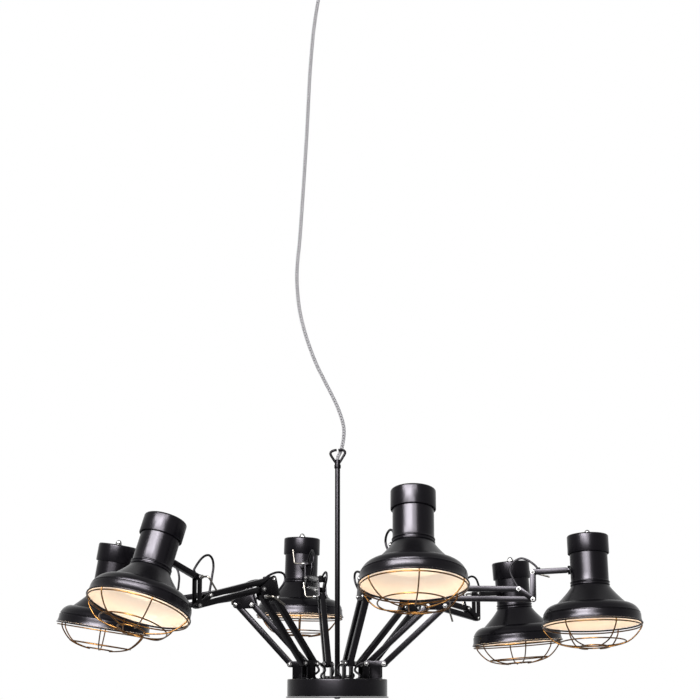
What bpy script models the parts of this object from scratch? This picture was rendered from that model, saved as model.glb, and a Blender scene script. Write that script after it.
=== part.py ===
"""Spider pendant light with six adjustable double-bar arms.

Frame: the origin is the middle of the ceiling plate's top face, +Z is up, and the
front of the light faces -Y. Everything hangs below the ceiling plate: the rose, the
braided cord with its slack, the hanging loop, the stem, the round hub, and six arms.
Each arm is a chain: swivel bracket, lower bars, elbow, upper bars, head bracket, lamp
arm and lamp head. Both pairs of bars are parallelograms, so the elbow and the head
bracket stay upright. The pose at rest is the one that ARMS gives, in degrees.
"""

import math
from collections import namedtuple

import bmesh
import bpy
from mathutils import Matrix, Vector
from mathutils.geometry import tessellate_polygon

# Clearances
SEAT = 0.0003
PIN_PLAY = 0.0004
BITE = 0.001
OVERRUN = 0.002

# Ceiling rose with its cord grip
DROP = 1.3333
ROSE_RADIUS = 0.060
ROSE_HEIGHT = 0.025
ROSE_CROWN = 0.005
ROSE_WALL = 0.0012
CEILING_PLATE_THICK = 0.002
WIRE_HOLE_RADIUS = 0.008
WIRE_HOLE_OFFSET = 0.030
CORD_GRIP_RADIUS = 0.0075
CORD_GRIP_TIP_RADIUS = 0.0055
CORD_GRIP_HEIGHT = 0.018

# Cord, in metres below the ceiling, from the nipple up to the rose
CORD_RADIUS = 0.003
CORD_POINT_SPACING = 0.018
CORD_ROUTE = [
    (0.0000, 0.0000, -0.9428),
    (0.0014, 0.0026, -0.9390),
    (0.0036, 0.0052, -0.9345),
    (0.0058, 0.0062, -0.9290),
    (0.0083, 0.0062, -0.9190),
    (0.0102, 0.0052, -0.9060),
    (0.0101, 0.0036, -0.8915),
    (0.0061, 0.0018, -0.8747),
    (-0.0036, 0.0004, -0.8497),
    (-0.0190, 0.0000, -0.8189),
    (-0.0356, 0.0000, -0.7852),
    (-0.0496, 0.0000, -0.7484),
    (-0.0595, 0.0000, -0.7144),
    (-0.0652, 0.0000, -0.6859),
    (-0.0682, 0.0000, -0.6575),
    (-0.0692, 0.0000, -0.6316),
    (-0.0676, 0.0000, -0.6028),
    (-0.0644, 0.0000, -0.5682),
    (-0.0592, 0.0000, -0.4860),
    (-0.0559, 0.0000, -0.4297),
    (-0.0529, 0.0000, -0.3732),
    (-0.0504, 0.0000, -0.3161),
    (-0.0483, 0.0000, -0.2729),
    (-0.0452, 0.0000, -0.2297),
    (-0.0417, 0.0000, -0.1921),
    (-0.0344, 0.0000, -0.1426),
    (-0.0270, 0.0000, -0.1180),
    (-0.0170, 0.0000, -0.0960),
    (-0.0070, 0.0000, -0.0770),
    (-0.0014, 0.0000, -0.0610),
]

# Stem, nipple and hanging loop, upwards from the hub's top
STEM_RADIUS = 0.00425
STEM_HEIGHT = 0.3425
COLLAR_RADIUS = 0.00545
COLLAR_HEIGHT = 0.006
NIPPLE_RADIUS = 0.0047
NIPPLE_HEIGHT = 0.0085
LOOP_WIRE_RADIUS = 0.0014
LOOP_HALF_WIDTH = 0.0123
LOOP_RISE = 0.0205
LOOP_SHOULDER = 0.0145
LOOP_CORNER = 0.004
LOOP_CORNER_START = 20
LOOP_GAP = 0.0012

# Hub
HUB_RADIUS = 0.081
HUB_HEIGHT = 0.0275
HUB_WALL = 0.0016
HUB_EDGE = 0.0022
BASE_PLATE_RADIUS = 0.083
BASE_PLATE_THICK = 0.002
BASE_SCREW_RADIUS = 0.005
BASE_SCREW_HEIGHT = 0.0022

# Bars, plates and pins
BAR_SIZE = 0.009
BAR_END_CHAMFER = 0.003
PLATE_THICK = 0.002
PIN_RADIUS = 0.0021
PIVOT_SPACING = 0.028
LOWER_BAR_LENGTH = 0.1365
UPPER_BAR_LENGTH = 0.1385

# Swivel bracket
BRACKET_RADIUS = 0.0645
BRACKET_LENGTH = 0.019
BRACKET_PIVOT_HEIGHT = 0.024
BRACKET_EAR_RADIUS = 0.005

# Elbow, from the outer lower pivot
ELBOW_UPPER_OUT = 0.0028
ELBOW_UPPER_RISE = 0.0118
UPPER_SPACING_OUT = 0.0225
UPPER_SPACING_RISE = 0.0164
ELBOW_MARGIN = 0.0058

# Head bracket and lamp arm
HEAD_STRIP_HALF = 0.0042
HEAD_RISE = 0.043
LAMP_REACH = 0.090
SWIVEL_COLLAR_RADIUS = 0.0070
SWIVEL_COLLAR_THICK = 0.0035

# Clamp levers
LEVER_BOSS_RADIUS = 0.0032
LEVER_BOSS_LENGTH = 0.0050
LEVER_ROD_RADIUS = 0.0015
LEVER_STUB = 0.018
LEVER_HANDLE = 0.025
LEVER_BEND = 0.004
LEVER_LEAN = 0.003

# Lamp head, from the lamp arm's line through the middle of the neck
TOP_RISE = 0.054
CAP_RADIUS = 0.033
CAP_HEIGHT = 0.030
CAP_EDGE = 0.0025
NECK_RADIUS = 0.030
NECK_HEIGHT = 0.044
BEAD_HEIGHT = 0.0035
BEAD_SWELL = 0.0016
FLARE_HEIGHT = 0.0304
FLARE_RADIUS = 0.0566
FLARE_BEND = 1.2
DOME_HEIGHT = 0.0210
DOME_RADIUS = 0.077
SKIRT_HEIGHT = 0.0116
RIM_RADIUS = 0.080
SHADE_WALL = 0.0012
HOLDER_RADIUS = 0.014
HOLDER_LENGTH = 0.050
BULB_RADIUS = 0.0225
BULB_LENGTH = 0.062
BULB_ANGLES = (30, -10, -50)
ACORN_RADIUS = 0.0048
ACORN_FLAT = 0.003
ACORN_RISE = 0.0042

# Wire cage
CAGE_WIRE_RADIUS = 0.0012
CAGE_WIRES = 6
CAGE_MID_RADIUS = 0.0515
CAGE_MID_DEPTH = 0.026
CAGE_END_RADIUS = 0.0215
CAGE_END_DEPTH = 0.033
CAGE_START = 0.004

# Facets
SHADE_SIDES = 14
LAMP_SIDES = 8
HOLE_SIDES = 8
HUB_SIDES = 24
ROSE_SIDES = 20
SMALL_SIDES = 10
PIN_SIDES = 6
ROD_SIDES = 5
ARC_STEPS = 3
FLARE_STEPS = 2
WIRE_SIDES = 3
SMOOTH_ANGLE = 35

Arm = namedtuple("Arm", "number azimuth swivel lower upper tilt roll elbow_lever head_lever cage_turn")
ARMS = [
    Arm(1, 165, -3.4, 45.6, -7.3, 8.9, 2.2, 100, -120, -7),
    Arm(2, 225, 2.0, 48.3, -12.7, 21.0, 0.2, -150, -125, 3),
    Arm(3, 105, -5.5, 58.2, 4.8, -0.8, 1.6, 80, 85, -7),
    Arm(4, 285, 1.5, 47.5, 5.6, 13.4, -4.5, 110, -90, -12),
    Arm(5, 45, -5.9, 44.3, -10.5, 2.9, -3.2, 80, -110, -4),
    Arm(6, -15, 3.1, 42.2, -1.0, 2.3, -5.8, -75, -15, 3),
]

Finish = namedtuple("Finish", "name colour roughness metallic")
BLACK = Finish("satin_black_powder_coat", (0.022, 0.021, 0.024, 1), 0.42, 0.0)
BRAID = Finish("black_braided_textile", (0.030, 0.030, 0.032, 1), 0.85, 0.0)
NICKEL = Finish("black_nickel_wire", (0.16, 0.15, 0.15, 1), 0.30, 0.9)

# Derived sizes
PLATE_INNER = BAR_SIZE / 2 + SEAT
PLATE_OUTER = PLATE_INNER + PLATE_THICK
HUB_TOP = BASE_PLATE_THICK + SEAT + HUB_HEIGHT
RIM_DROP = (
    CAP_HEIGHT + NECK_HEIGHT + 2 * BEAD_HEIGHT + FLARE_HEIGHT + DOME_HEIGHT + SKIRT_HEIGHT - TOP_RISE
)


def clear_scene():
    for old in list(bpy.data.objects):
        bpy.data.objects.remove(old)


def material(finish):
    """One Principled material for each finish, shared by the pieces that have it."""
    found = bpy.data.materials.get(finish.name)
    if found:
        return found
    made = bpy.data.materials.new(finish.name)
    made.use_nodes = True
    shader = made.node_tree.nodes["Principled BSDF"]
    shader.inputs["Base Color"].default_value = finish.colour
    shader.inputs["Roughness"].default_value = finish.roughness
    shader.inputs["Metallic"].default_value = finish.metallic
    made.diffuse_color = finish.colour
    return made


def empty(name, parent=None, place=(0, 0, 0), turn=(0, 0, 0)):
    made = bpy.data.objects.new(name, None)
    bpy.context.scene.collection.objects.link(made)
    made.parent = parent
    made.location = place
    made.rotation_euler = turn
    return made


def piece(name, mesh, parent, place=(0, 0, 0), turn=(0, 0, 0)):
    made = bpy.data.objects.new(name, mesh)
    bpy.context.scene.collection.objects.link(made)
    made.parent = parent
    made.location = place
    made.rotation_euler = turn
    return made


def finished_mesh(name, bm, finish):
    mesh = bpy.data.meshes.new(name)
    bm.to_mesh(mesh)
    bm.free()
    mesh.materials.append(material(finish))
    mesh.shade_smooth()
    mesh.set_sharp_from_angle(angle=math.radians(SMOOTH_ANGLE))
    return mesh


def arc(centre, radius, start, end, steps):
    """Points on an arc in a piece's side view, angles in degrees."""
    turns = [math.radians(start + (end - start) * i / steps) for i in range(steps + 1)]
    return [(centre[0] + radius * math.cos(t), centre[1] + radius * math.sin(t)) for t in turns]


def circle_points(centre, radius, sides):
    return arc(centre, radius, 0, 360 * (sides - 1) / sides, sides - 1)


def across_flats(radius, sides):
    """Corner radius of a regular hole whose flats stand at this radius."""
    return radius / math.cos(math.pi / sides)


def turned(bm, profile, sides, axis="Z", offset=(0, 0, 0)):
    """A closed profile of (radius, height) points turned round an axis."""
    rings = []
    for radius, height in profile:
        if radius == 0:
            rings.append([bm.verts.new((0, 0, height))] * sides)
            continue
        rings.append([bm.verts.new((x, y, height)) for x, y in circle_points((0, 0), radius, sides)])
    made = []
    for low, high in zip(rings, rings[1:] + rings[:1]):
        if low[0] is low[1] and high[0] is high[1]:
            continue
        for i in range(sides):
            j = (i + 1) % sides
            made.append(bm.faces.new(dict.fromkeys([low[i], low[j], high[j], high[i]])))
    bmesh.ops.recalc_face_normals(bm, faces=made)
    verts = list({v for face in made for v in face.verts})
    if axis == "X":
        bmesh.ops.rotate(bm, verts=verts, cent=(0, 0, 0), matrix=Matrix.Rotation(math.pi / 2, 3, "Y"))
    bmesh.ops.translate(bm, verts=verts, vec=offset)


def ring_verts(bm, outline, level):
    return [bm.verts.new((x, level, z)) for x, z in outline]


def cap(bm, loops):
    """Fills an outline and its holes, all in one plane across Y."""
    flat = [[Vector((v.co.x, v.co.z, 0)) for v in loop] for loop in loops]
    verts = [v for loop in loops for v in loop]
    made = []
    for a, b, c in tessellate_polygon(flat):
        made.append(bm.faces.new((verts[a], verts[b], verts[c])))
    return made


def wall(bm, low, high):
    count = len(low)
    pairs = [(i, (i + 1) % count) for i in range(count)]
    return [bm.faces.new((low[i], low[j], high[j], high[i])) for i, j in pairs]


def prism(bm, outline, holes, front, back):
    """A side view extruded across Y from front to back, with its holes."""
    loops = [outline] + holes
    low = [ring_verts(bm, loop, front) for loop in loops]
    high = [ring_verts(bm, loop, back) for loop in loops]
    made = cap(bm, low) + cap(bm, high)
    for a, b in zip(low, high):
        made += wall(bm, a, b)
    bmesh.ops.recalc_face_normals(bm, faces=made)


def plate_pair(bm, outline, pins):
    """Two side plates and the riveted pins that join them, as one welded piece."""
    pin_loops = [circle_points(pin, PIN_RADIUS, PIN_SIDES) for pin in pins]
    outer_low = ring_verts(bm, outline, -PLATE_OUTER)
    outer_high = ring_verts(bm, outline, PLATE_OUTER)
    inner_low = ring_verts(bm, outline, -PLATE_INNER)
    inner_high = ring_verts(bm, outline, PLATE_INNER)
    pins_low = [ring_verts(bm, loop, -PLATE_INNER) for loop in pin_loops]
    pins_high = [ring_verts(bm, loop, PLATE_INNER) for loop in pin_loops]
    made = cap(bm, [outer_low]) + cap(bm, [outer_high])
    made += cap(bm, [inner_low] + pins_low) + cap(bm, [inner_high] + pins_high)
    made += wall(bm, outer_low, inner_low) + wall(bm, inner_high, outer_high)
    for low, high in zip(pins_low, pins_high):
        made += wall(bm, low, high)
    bmesh.ops.recalc_face_normals(bm, faces=made)


def swept(bm, points, radii, sides):
    """A round rod along a path, with a radius at each point and closed ends."""
    path = [Vector(p) for p in points]
    ahead = path[1:] + path[-1:]
    behind = path[:1] + path[:-1]
    along = [(after - before).normalized() for after, before in zip(ahead, behind)]
    side = along[0].orthogonal().normalized()
    rings = []
    for spot, way, radius in zip(path, along, radii):
        side = (side - way * side.dot(way)).normalized()
        other = way.cross(side)
        turns = [2 * math.pi * (i + 0.5) / sides for i in range(sides)]
        around = [side * math.cos(t) + other * math.sin(t) for t in turns]
        rings.append([bm.verts.new(spot + way_out * radius) for way_out in around])
    made = [bm.faces.new(rings[0]), bm.faces.new(rings[-1])]
    for low, high in zip(rings, rings[1:]):
        made += wall(bm, low, high)
    bmesh.ops.recalc_face_normals(bm, faces=made)


def box(bm, size, middle):
    made = bmesh.ops.create_cube(bm, size=1)["verts"]
    bmesh.ops.scale(bm, vec=size, verts=made)
    bmesh.ops.translate(bm, vec=middle, verts=made)


def hull_outline(centres, radius, steps):
    """The rounded outline of a plate that wraps pivots listed counterclockwise."""
    count = len(centres)
    outline = []
    for i, spot in enumerate(centres):
        before = Vector(spot) - Vector(centres[i - 1])
        after = Vector(centres[(i + 1) % count]) - Vector(spot)
        start = math.degrees(math.atan2(before.y, before.x)) - 90
        end = math.degrees(math.atan2(after.y, after.x)) - 90
        if end < start:
            end += 360
        outline += arc(spot, radius, start, end, steps)
    return outline


def strip_outline(first, corner, last, half, steps):
    """The outline of a bent strip of even width, round at both ends."""
    ahead = (Vector(corner) - Vector(first)).normalized()
    beyond = (Vector(last) - Vector(corner)).normalized()
    heading = math.degrees(math.atan2(ahead.y, ahead.x))
    turn = math.degrees(math.atan2(beyond.y, beyond.x))
    mitre = (Vector((-ahead.y, ahead.x)) + Vector((-beyond.y, beyond.x))).normalized()
    inside = Vector(corner) + mitre * (half / mitre.dot(Vector((-ahead.y, ahead.x))))
    return (
        arc(first, half, heading + 90, heading + 270, steps)
        + arc(corner, half, heading - 90, turn - 90, steps)
        + arc(last, half, turn - 90, turn + 90, steps)
        + [tuple(inside)]
    )


def bar_mesh(name, length):
    """A square bar with chamfered ends and a pin hole at each pivot."""
    half = BAR_SIZE / 2
    cut = BAR_END_CHAMFER
    ends = [(-half, cut - half), (cut - half, -half)]
    ends += [(length + half - cut, -half), (length + half, cut - half)]
    outline = ends + [(x, -z) for x, z in reversed(ends)]
    hole = across_flats(PIN_RADIUS + PIN_PLAY, PIN_SIDES)
    holes = [circle_points((x, 0), hole, PIN_SIDES) for x in (0, length)]
    bm = bmesh.new()
    prism(bm, outline, holes, -half, half)
    return finished_mesh(name, bm, BLACK)


def evaluated_mesh(maker):
    """The mesh of an object once its modifiers are applied."""
    graph = bpy.context.evaluated_depsgraph_get()
    graph.update()
    return bpy.data.meshes.new_from_object(maker.evaluated_get(graph))


def carved(block, cutter, operation):
    """One mesh cut by, or joined with, another whose own pieces may overlap."""
    base = piece("carve_block", block, None)
    tool = piece("carve_tool", cutter, None)
    tool.hide_render = True
    tool.display_type = "WIRE"
    step = base.modifiers.new("carve", "BOOLEAN")
    step.operation = operation
    step.object = tool
    step.use_self = True
    result = evaluated_mesh(base)
    bpy.data.objects.remove(base)
    bpy.data.objects.remove(tool)
    return result


def joined(name, first, second):
    """Two bmeshes made into one welded body."""
    block = finished_mesh(name + "_block", first, BLACK)
    added = finished_mesh(name + "_added", second, BLACK)
    bm = bmesh.new()
    bm.from_mesh(carved(block, added, "UNION"))
    return finished_mesh(name, bm, BLACK)


def bracket_mesh():
    """A folded channel: T-shaped cheeks on a floor, and the two pins between them."""
    half = BRACKET_LENGTH / 2
    reach = PIVOT_SPACING / 2
    under = BRACKET_PIVOT_HEIGHT - BRACKET_EAR_RADIUS
    outline = [(-half, SEAT), (half, SEAT), (half, under)]
    outline += arc((reach, BRACKET_PIVOT_HEIGHT), BRACKET_EAR_RADIUS, -90, 90, ARC_STEPS + 1)
    outline += arc((-reach, BRACKET_PIVOT_HEIGHT), BRACKET_EAR_RADIUS, 90, 270, ARC_STEPS + 1)
    outline.append((-half, under))
    block = bmesh.new()
    prism(block, outline, [], -PLATE_OUTER, PLATE_OUTER)
    cutter = bmesh.new()
    floor = SEAT + PLATE_THICK
    top = BRACKET_PIVOT_HEIGHT + BRACKET_EAR_RADIUS + OVERRUN
    inside = (2 * (reach + BRACKET_EAR_RADIUS + OVERRUN), 2 * PLATE_INNER, top - floor)
    box(cutter, inside, (0, 0, (top + floor) / 2))
    block = finished_mesh("bracket_block", block, BLACK)
    cutter = finished_mesh("bracket_inside", cutter, BLACK)
    channel = bmesh.new()
    channel.from_mesh(carved(block, cutter, "DIFFERENCE"))
    fixings = bmesh.new()
    end = PLATE_INNER + BITE
    for x in (-reach, reach):
        prism(fixings, circle_points((x, BRACKET_PIVOT_HEIGHT), PIN_RADIUS, PIN_SIDES), [], -end, end)
    return joined("swivel_bracket", channel, fixings)


def lever(bm, pivot, angle):
    """A clamp lever: a boss on the pin's end and a rod bent over into a handle."""
    turn = math.radians(angle)
    start = PLATE_OUTER - BITE
    boss_end = PLATE_OUTER + LEVER_BOSS_LENGTH
    bend = PLATE_OUTER + LEVER_STUB
    out = Vector((math.cos(turn), 0, math.sin(turn)))
    middle = Vector((pivot[0], 0, pivot[1]))
    points = [middle + Vector((0, y, 0)) for y in (start, boss_end, boss_end + SEAT, bend - LEVER_BEND)]
    points.append(middle + out * LEVER_BEND + Vector((0, bend, 0)))
    points.append(middle + out * LEVER_HANDLE + Vector((0, bend + LEVER_LEAN, 0)))
    radii = [LEVER_BOSS_RADIUS, LEVER_BOSS_RADIUS, LEVER_ROD_RADIUS] + [LEVER_ROD_RADIUS] * 3
    swept(bm, points, radii, ROD_SIDES)


def elbow_pivots():
    """Lower outer, lower inner, upper inner and upper outer pivots, in the side view."""
    upper_outer = (ELBOW_UPPER_OUT, ELBOW_UPPER_RISE)
    upper_inner = (ELBOW_UPPER_OUT - UPPER_SPACING_OUT, ELBOW_UPPER_RISE + UPPER_SPACING_RISE)
    return (0, 0), (-PIVOT_SPACING, 0), upper_inner, upper_outer


def elbow_mesh(arm):
    lower_outer, lower_inner, upper_inner, upper_outer = elbow_pivots()
    order = [lower_inner, lower_outer, upper_outer, upper_inner]
    bm = bmesh.new()
    plate_pair(bm, hull_outline(order, ELBOW_MARGIN, ARC_STEPS - 1), order)
    clamp = bmesh.new()
    lever(clamp, lower_outer, arm.elbow_lever)
    return joined(f"elbow_{arm.number}", bm, clamp)


def head_bracket_mesh(arm):
    inner = (-UPPER_SPACING_OUT, UPPER_SPACING_RISE)
    outer = (0, 0)
    top = (0, HEAD_RISE)
    bm = bmesh.new()
    plate_pair(bm, strip_outline(inner, outer, top, HEAD_STRIP_HALF, ARC_STEPS), [inner, outer, top])
    clamp = bmesh.new()
    lever(clamp, top, arm.head_lever)
    return joined(f"head_bracket_{arm.number}", bm, clamp)


def lamp_arm_mesh():
    half = BAR_SIZE / 2
    cut = BAR_END_CHAMFER
    collar_face = LAMP_REACH - NECK_RADIUS - SEAT
    collar_back = collar_face - SWIVEL_COLLAR_THICK
    end = collar_back + BITE
    outline = [(-half, cut - half), (cut - half, -half), (end, -half)]
    outline += [(end, half), (cut - half, half), (-half, half - cut)]
    hole = across_flats(PIN_RADIUS + PIN_PLAY, PIN_SIDES)
    bar = bmesh.new()
    prism(bar, outline, [circle_points((0, 0), hole, PIN_SIDES)], -half, half)
    collar = bmesh.new()
    profile = [(0, collar_back), (SWIVEL_COLLAR_RADIUS, collar_back)]
    profile += [(SWIVEL_COLLAR_RADIUS, collar_face), (0, collar_face)]
    turned(collar, profile, SMALL_SIDES, axis="X")
    return joined("lamp_arm", bar, collar)


def flare_points(wall, steps):
    """The concave flare from the neck to the dome, inwards by a wall."""
    top = TOP_RISE - CAP_HEIGHT - NECK_HEIGHT - 2 * BEAD_HEIGHT
    points = []
    for i in range(1, steps + 1):
        share = i / steps
        radius = NECK_RADIUS + (FLARE_RADIUS - NECK_RADIUS) * share**FLARE_BEND
        points.append((radius - wall, top - FLARE_HEIGHT * share - wall))
    return points


def dome_points(wall, steps):
    """The round dome from the flare to the skirt, inwards by a wall."""
    top = TOP_RISE - CAP_HEIGHT - NECK_HEIGHT - 2 * BEAD_HEIGHT - FLARE_HEIGHT
    points = []
    for i in range(1, steps + 1):
        turn = math.radians(90 * i / steps)
        radius = FLARE_RADIUS + (DOME_RADIUS - FLARE_RADIUS) * math.sin(turn)
        points.append((radius - wall, top - DOME_HEIGHT * (1 - math.cos(turn)) - wall * math.cos(turn)))
    return points


def shade_profile():
    """Cap, neck, bead, flare, dome and skirt down the outside, then up the inside."""
    ledge = TOP_RISE - CAP_HEIGHT
    beads = ledge - NECK_HEIGHT
    outside = [
        (0, TOP_RISE),
        (CAP_RADIUS - CAP_EDGE, TOP_RISE),
        (CAP_RADIUS, TOP_RISE - CAP_EDGE),
        (CAP_RADIUS, ledge),
        (NECK_RADIUS, ledge),
        (NECK_RADIUS, beads),
        (NECK_RADIUS + BEAD_SWELL, beads - BEAD_HEIGHT),
        (NECK_RADIUS, beads - BEAD_HEIGHT * 2),
    ]
    outside += flare_points(0, FLARE_STEPS) + dome_points(0, ARC_STEPS) + [(RIM_RADIUS, -RIM_DROP)]
    inside = [(RIM_RADIUS - SHADE_WALL, -RIM_DROP)]
    inside += reversed(flare_points(SHADE_WALL, FLARE_STEPS) + dome_points(SHADE_WALL, ARC_STEPS - 1))
    neck = NECK_RADIUS - SHADE_WALL
    under_cap = TOP_RISE - SHADE_WALL
    return outside + inside + [(neck, beads - BEAD_HEIGHT * 2), (neck, under_cap), (0, under_cap)]


def lamp_profile():
    """The holder on the cap's underside and the globe bulb screwed into it."""
    under_cap = TOP_RISE - SHADE_WALL
    holder_end = under_cap - HOLDER_LENGTH
    ball = holder_end - BULB_LENGTH + BULB_RADIUS
    profile = [(0, under_cap + SHADE_WALL / 2), (HOLDER_RADIUS, under_cap + SHADE_WALL / 2)]
    profile.append((HOLDER_RADIUS, holder_end))
    for angle in BULB_ANGLES:
        turn = math.radians(angle)
        profile.append((BULB_RADIUS * math.cos(turn), ball + BULB_RADIUS * math.sin(turn)))
    return profile + [(0, ball - BULB_RADIUS)]


def cage_ring(bm, radius, height, sides):
    section = circle_points((radius, height), CAGE_WIRE_RADIUS, WIRE_SIDES)
    turned(bm, list(reversed(section)), sides)


def cage(bm, cage_turn):
    """Two rings and the six bent wires that hang them inside the rim."""
    rim_level = CAGE_START - RIM_DROP
    mid_level = -RIM_DROP - CAGE_MID_DEPTH
    end_level = -RIM_DROP - CAGE_END_DEPTH
    cage_ring(bm, CAGE_MID_RADIUS, mid_level, 2 * CAGE_WIRES)
    cage_ring(bm, CAGE_END_RADIUS, end_level, CAGE_WIRES)
    start = (RIM_RADIUS - SHADE_WALL, rim_level)
    middle = (CAGE_MID_RADIUS + CAGE_WIRE_RADIUS, mid_level - CAGE_WIRE_RADIUS)
    finish = (CAGE_END_RADIUS - CAGE_WIRE_RADIUS, end_level - CAGE_WIRE_RADIUS)
    for i in range(CAGE_WIRES):
        turn = math.radians(cage_turn) + 2 * math.pi * i / CAGE_WIRES
        points = [(r * math.cos(turn), r * math.sin(turn), z) for r, z in (start, middle, finish)]
        swept(bm, points, [CAGE_WIRE_RADIUS] * len(points), WIRE_SIDES)


def lamp_head_mesh(arm):
    """Shade with its holder and bulb, acorn nut and wire cage, welded into one body."""
    shade = bmesh.new()
    turned(shade, shade_profile(), SHADE_SIDES)
    fittings = bmesh.new()
    low = TOP_RISE - SHADE_WALL / 2
    flat = TOP_RISE + ACORN_FLAT
    acorn = [(0, low), (ACORN_RADIUS, low), (ACORN_RADIUS, flat), (0, flat + ACORN_RISE)]
    turned(fittings, acorn, PIN_SIDES)
    turned(fittings, lamp_profile(), LAMP_SIDES)
    cage(fittings, arm.cage_turn)
    return joined(f"lamp_head_{arm.number}", shade, fittings)


def build_arm(arm, hub, shared):
    """One arm's chain of pieces, each with its origin on its joint's axis."""
    name = f"arm{arm.number}_"
    turn = math.radians(arm.azimuth)
    spot = (BRACKET_RADIUS * math.cos(turn), BRACKET_RADIUS * math.sin(turn), HUB_TOP)
    bracket = piece(
        name + "swivel_bracket", shared["bracket"], hub, spot, (0, 0, turn + math.radians(arm.swivel))
    )
    lower = (0, -math.radians(arm.lower), 0)
    level = (0, math.radians(arm.lower), 0)
    reach = PIVOT_SPACING / 2
    outer = (reach, 0, BRACKET_PIVOT_HEIGHT)
    inner = (-reach, 0, BRACKET_PIVOT_HEIGHT)
    main = piece(name + "lower_main_bar", shared["lower_bar"], bracket, outer, lower)
    piece(name + "lower_link_bar", shared["lower_bar"], bracket, inner, lower)
    elbow = piece(name + "elbow", elbow_mesh(arm), main, (LOWER_BAR_LENGTH, 0, 0), level)
    inner, outer = [(x, 0, z) for x, z in elbow_pivots()[2:]]
    upper = (0, -math.radians(arm.upper), 0)
    upright = (0, math.radians(arm.upper), 0)
    main = piece(name + "upper_main_bar", shared["upper_bar"], elbow, outer, upper)
    piece(name + "upper_link_bar", shared["upper_bar"], elbow, inner, upper)
    head = piece(name + "head_bracket", head_bracket_mesh(arm), main, (UPPER_BAR_LENGTH, 0, 0), upright)
    tilt = (0, -math.radians(arm.tilt), 0)
    lamp_arm = piece(name + "lamp_arm", shared["lamp_arm"], head, (0, 0, HEAD_RISE), tilt)
    roll = (math.radians(arm.roll), 0, 0)
    piece(name + "lamp_head", lamp_head_mesh(arm), lamp_arm, (LAMP_REACH, 0, 0), roll)


def build_arms(hub):
    shared = {
        "bracket": bracket_mesh(),
        "lower_bar": bar_mesh("lower_bar", LOWER_BAR_LENGTH),
        "upper_bar": bar_mesh("upper_bar", UPPER_BAR_LENGTH),
        "lamp_arm": lamp_arm_mesh(),
    }
    for arm in ARMS:
        build_arm(arm, hub, shared)


def build_hub(hub):
    """The round housing, and the screwed base plate that closes it."""
    low = BASE_PLATE_THICK + SEAT
    inner = HUB_RADIUS - HUB_WALL
    bm = bmesh.new()
    profile = [
        (0, HUB_TOP),
        (HUB_RADIUS - HUB_EDGE, HUB_TOP),
        (HUB_RADIUS, HUB_TOP - HUB_EDGE),
        (HUB_RADIUS, low),
        (inner, low),
        (inner, HUB_TOP - HUB_EDGE),
        (inner - HUB_EDGE, HUB_TOP - HUB_WALL),
        (0, HUB_TOP - HUB_WALL),
    ]
    turned(bm, profile, HUB_SIDES)
    piece("hub_shell", finished_mesh("hub_shell", bm, BLACK), hub)
    bm = bmesh.new()
    plate = [(0, BASE_PLATE_THICK), (BASE_PLATE_RADIUS, BASE_PLATE_THICK), (BASE_PLATE_RADIUS, 0)]
    screw = [(BASE_SCREW_RADIUS, 0), (BASE_SCREW_RADIUS, -BASE_SCREW_HEIGHT), (0, -BASE_SCREW_HEIGHT)]
    turned(bm, plate + screw, HUB_SIDES)
    piece("hub_base_plate", finished_mesh("hub_base_plate", bm, BLACK), hub)


def build_stem(hub):
    """The stem on the hub, and above it the nipple with its hanging loop."""
    bottom = HUB_TOP + SEAT
    top = bottom + STEM_HEIGHT
    bm = bmesh.new()
    turned(bm, [(0, bottom), (STEM_RADIUS, bottom), (STEM_RADIUS, top), (0, top)], SMALL_SIDES)
    piece("stem_rod", finished_mesh("stem_rod", bm, BLACK), hub)
    bm = bmesh.new()
    low = top + SEAT
    mid = low + COLLAR_HEIGHT
    nipple_top = mid + NIPPLE_HEIGHT
    nipple = [(0, low), (COLLAR_RADIUS, low), (COLLAR_RADIUS, mid), (NIPPLE_RADIUS, mid)]
    turned(bm, nipple + [(NIPPLE_RADIUS, nipple_top), (0, nipple_top)], SMALL_SIDES)
    foot = mid + NIPPLE_HEIGHT / 2
    wires = bmesh.new()
    for side in (-1, 1):
        path = loop_path(side, foot)
        swept(wires, path, [LOOP_WIRE_RADIUS] * len(path), PIN_SIDES)
    piece("hanging_loop", joined("hanging_loop", bm, wires), hub)
    return nipple_top


def loop_path(side, foot):
    """Half of the triangular loop: out of the nipple, up the leg and in along the top."""
    top = foot + LOOP_RISE
    shoulder = foot + LOOP_SHOULDER
    points = [(NIPPLE_RADIUS - LOOP_WIRE_RADIUS, foot), (LOOP_HALF_WIDTH, shoulder)]
    centre = (LOOP_HALF_WIDTH - LOOP_CORNER, top - LOOP_CORNER)
    points += arc(centre, LOOP_CORNER, LOOP_CORNER_START, 90, ARC_STEPS)
    points.append((LOOP_GAP, top))
    return [(side * x, 0, z) for x, z in points]


def smooth_route(route, spacing):
    """A Catmull-Rom curve through the route, with points no farther apart than the spacing."""
    ends = [route[0] * 2 - route[1]] + route + [route[-1] * 2 - route[-2]]
    points = []
    for a, b, c, d in zip(ends, ends[1:], ends[2:], ends[3:]):
        steps = math.ceil((c - b).length / spacing)
        for i in range(steps):
            t = i / steps
            bend = (2 * a - 5 * b + 4 * c - d) * t**2 + (3 * b - a - 3 * c + d) * t**3
            points.append((2 * b + (c - a) * t + bend) / 2)
    return points + [route[-1]]


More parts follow.
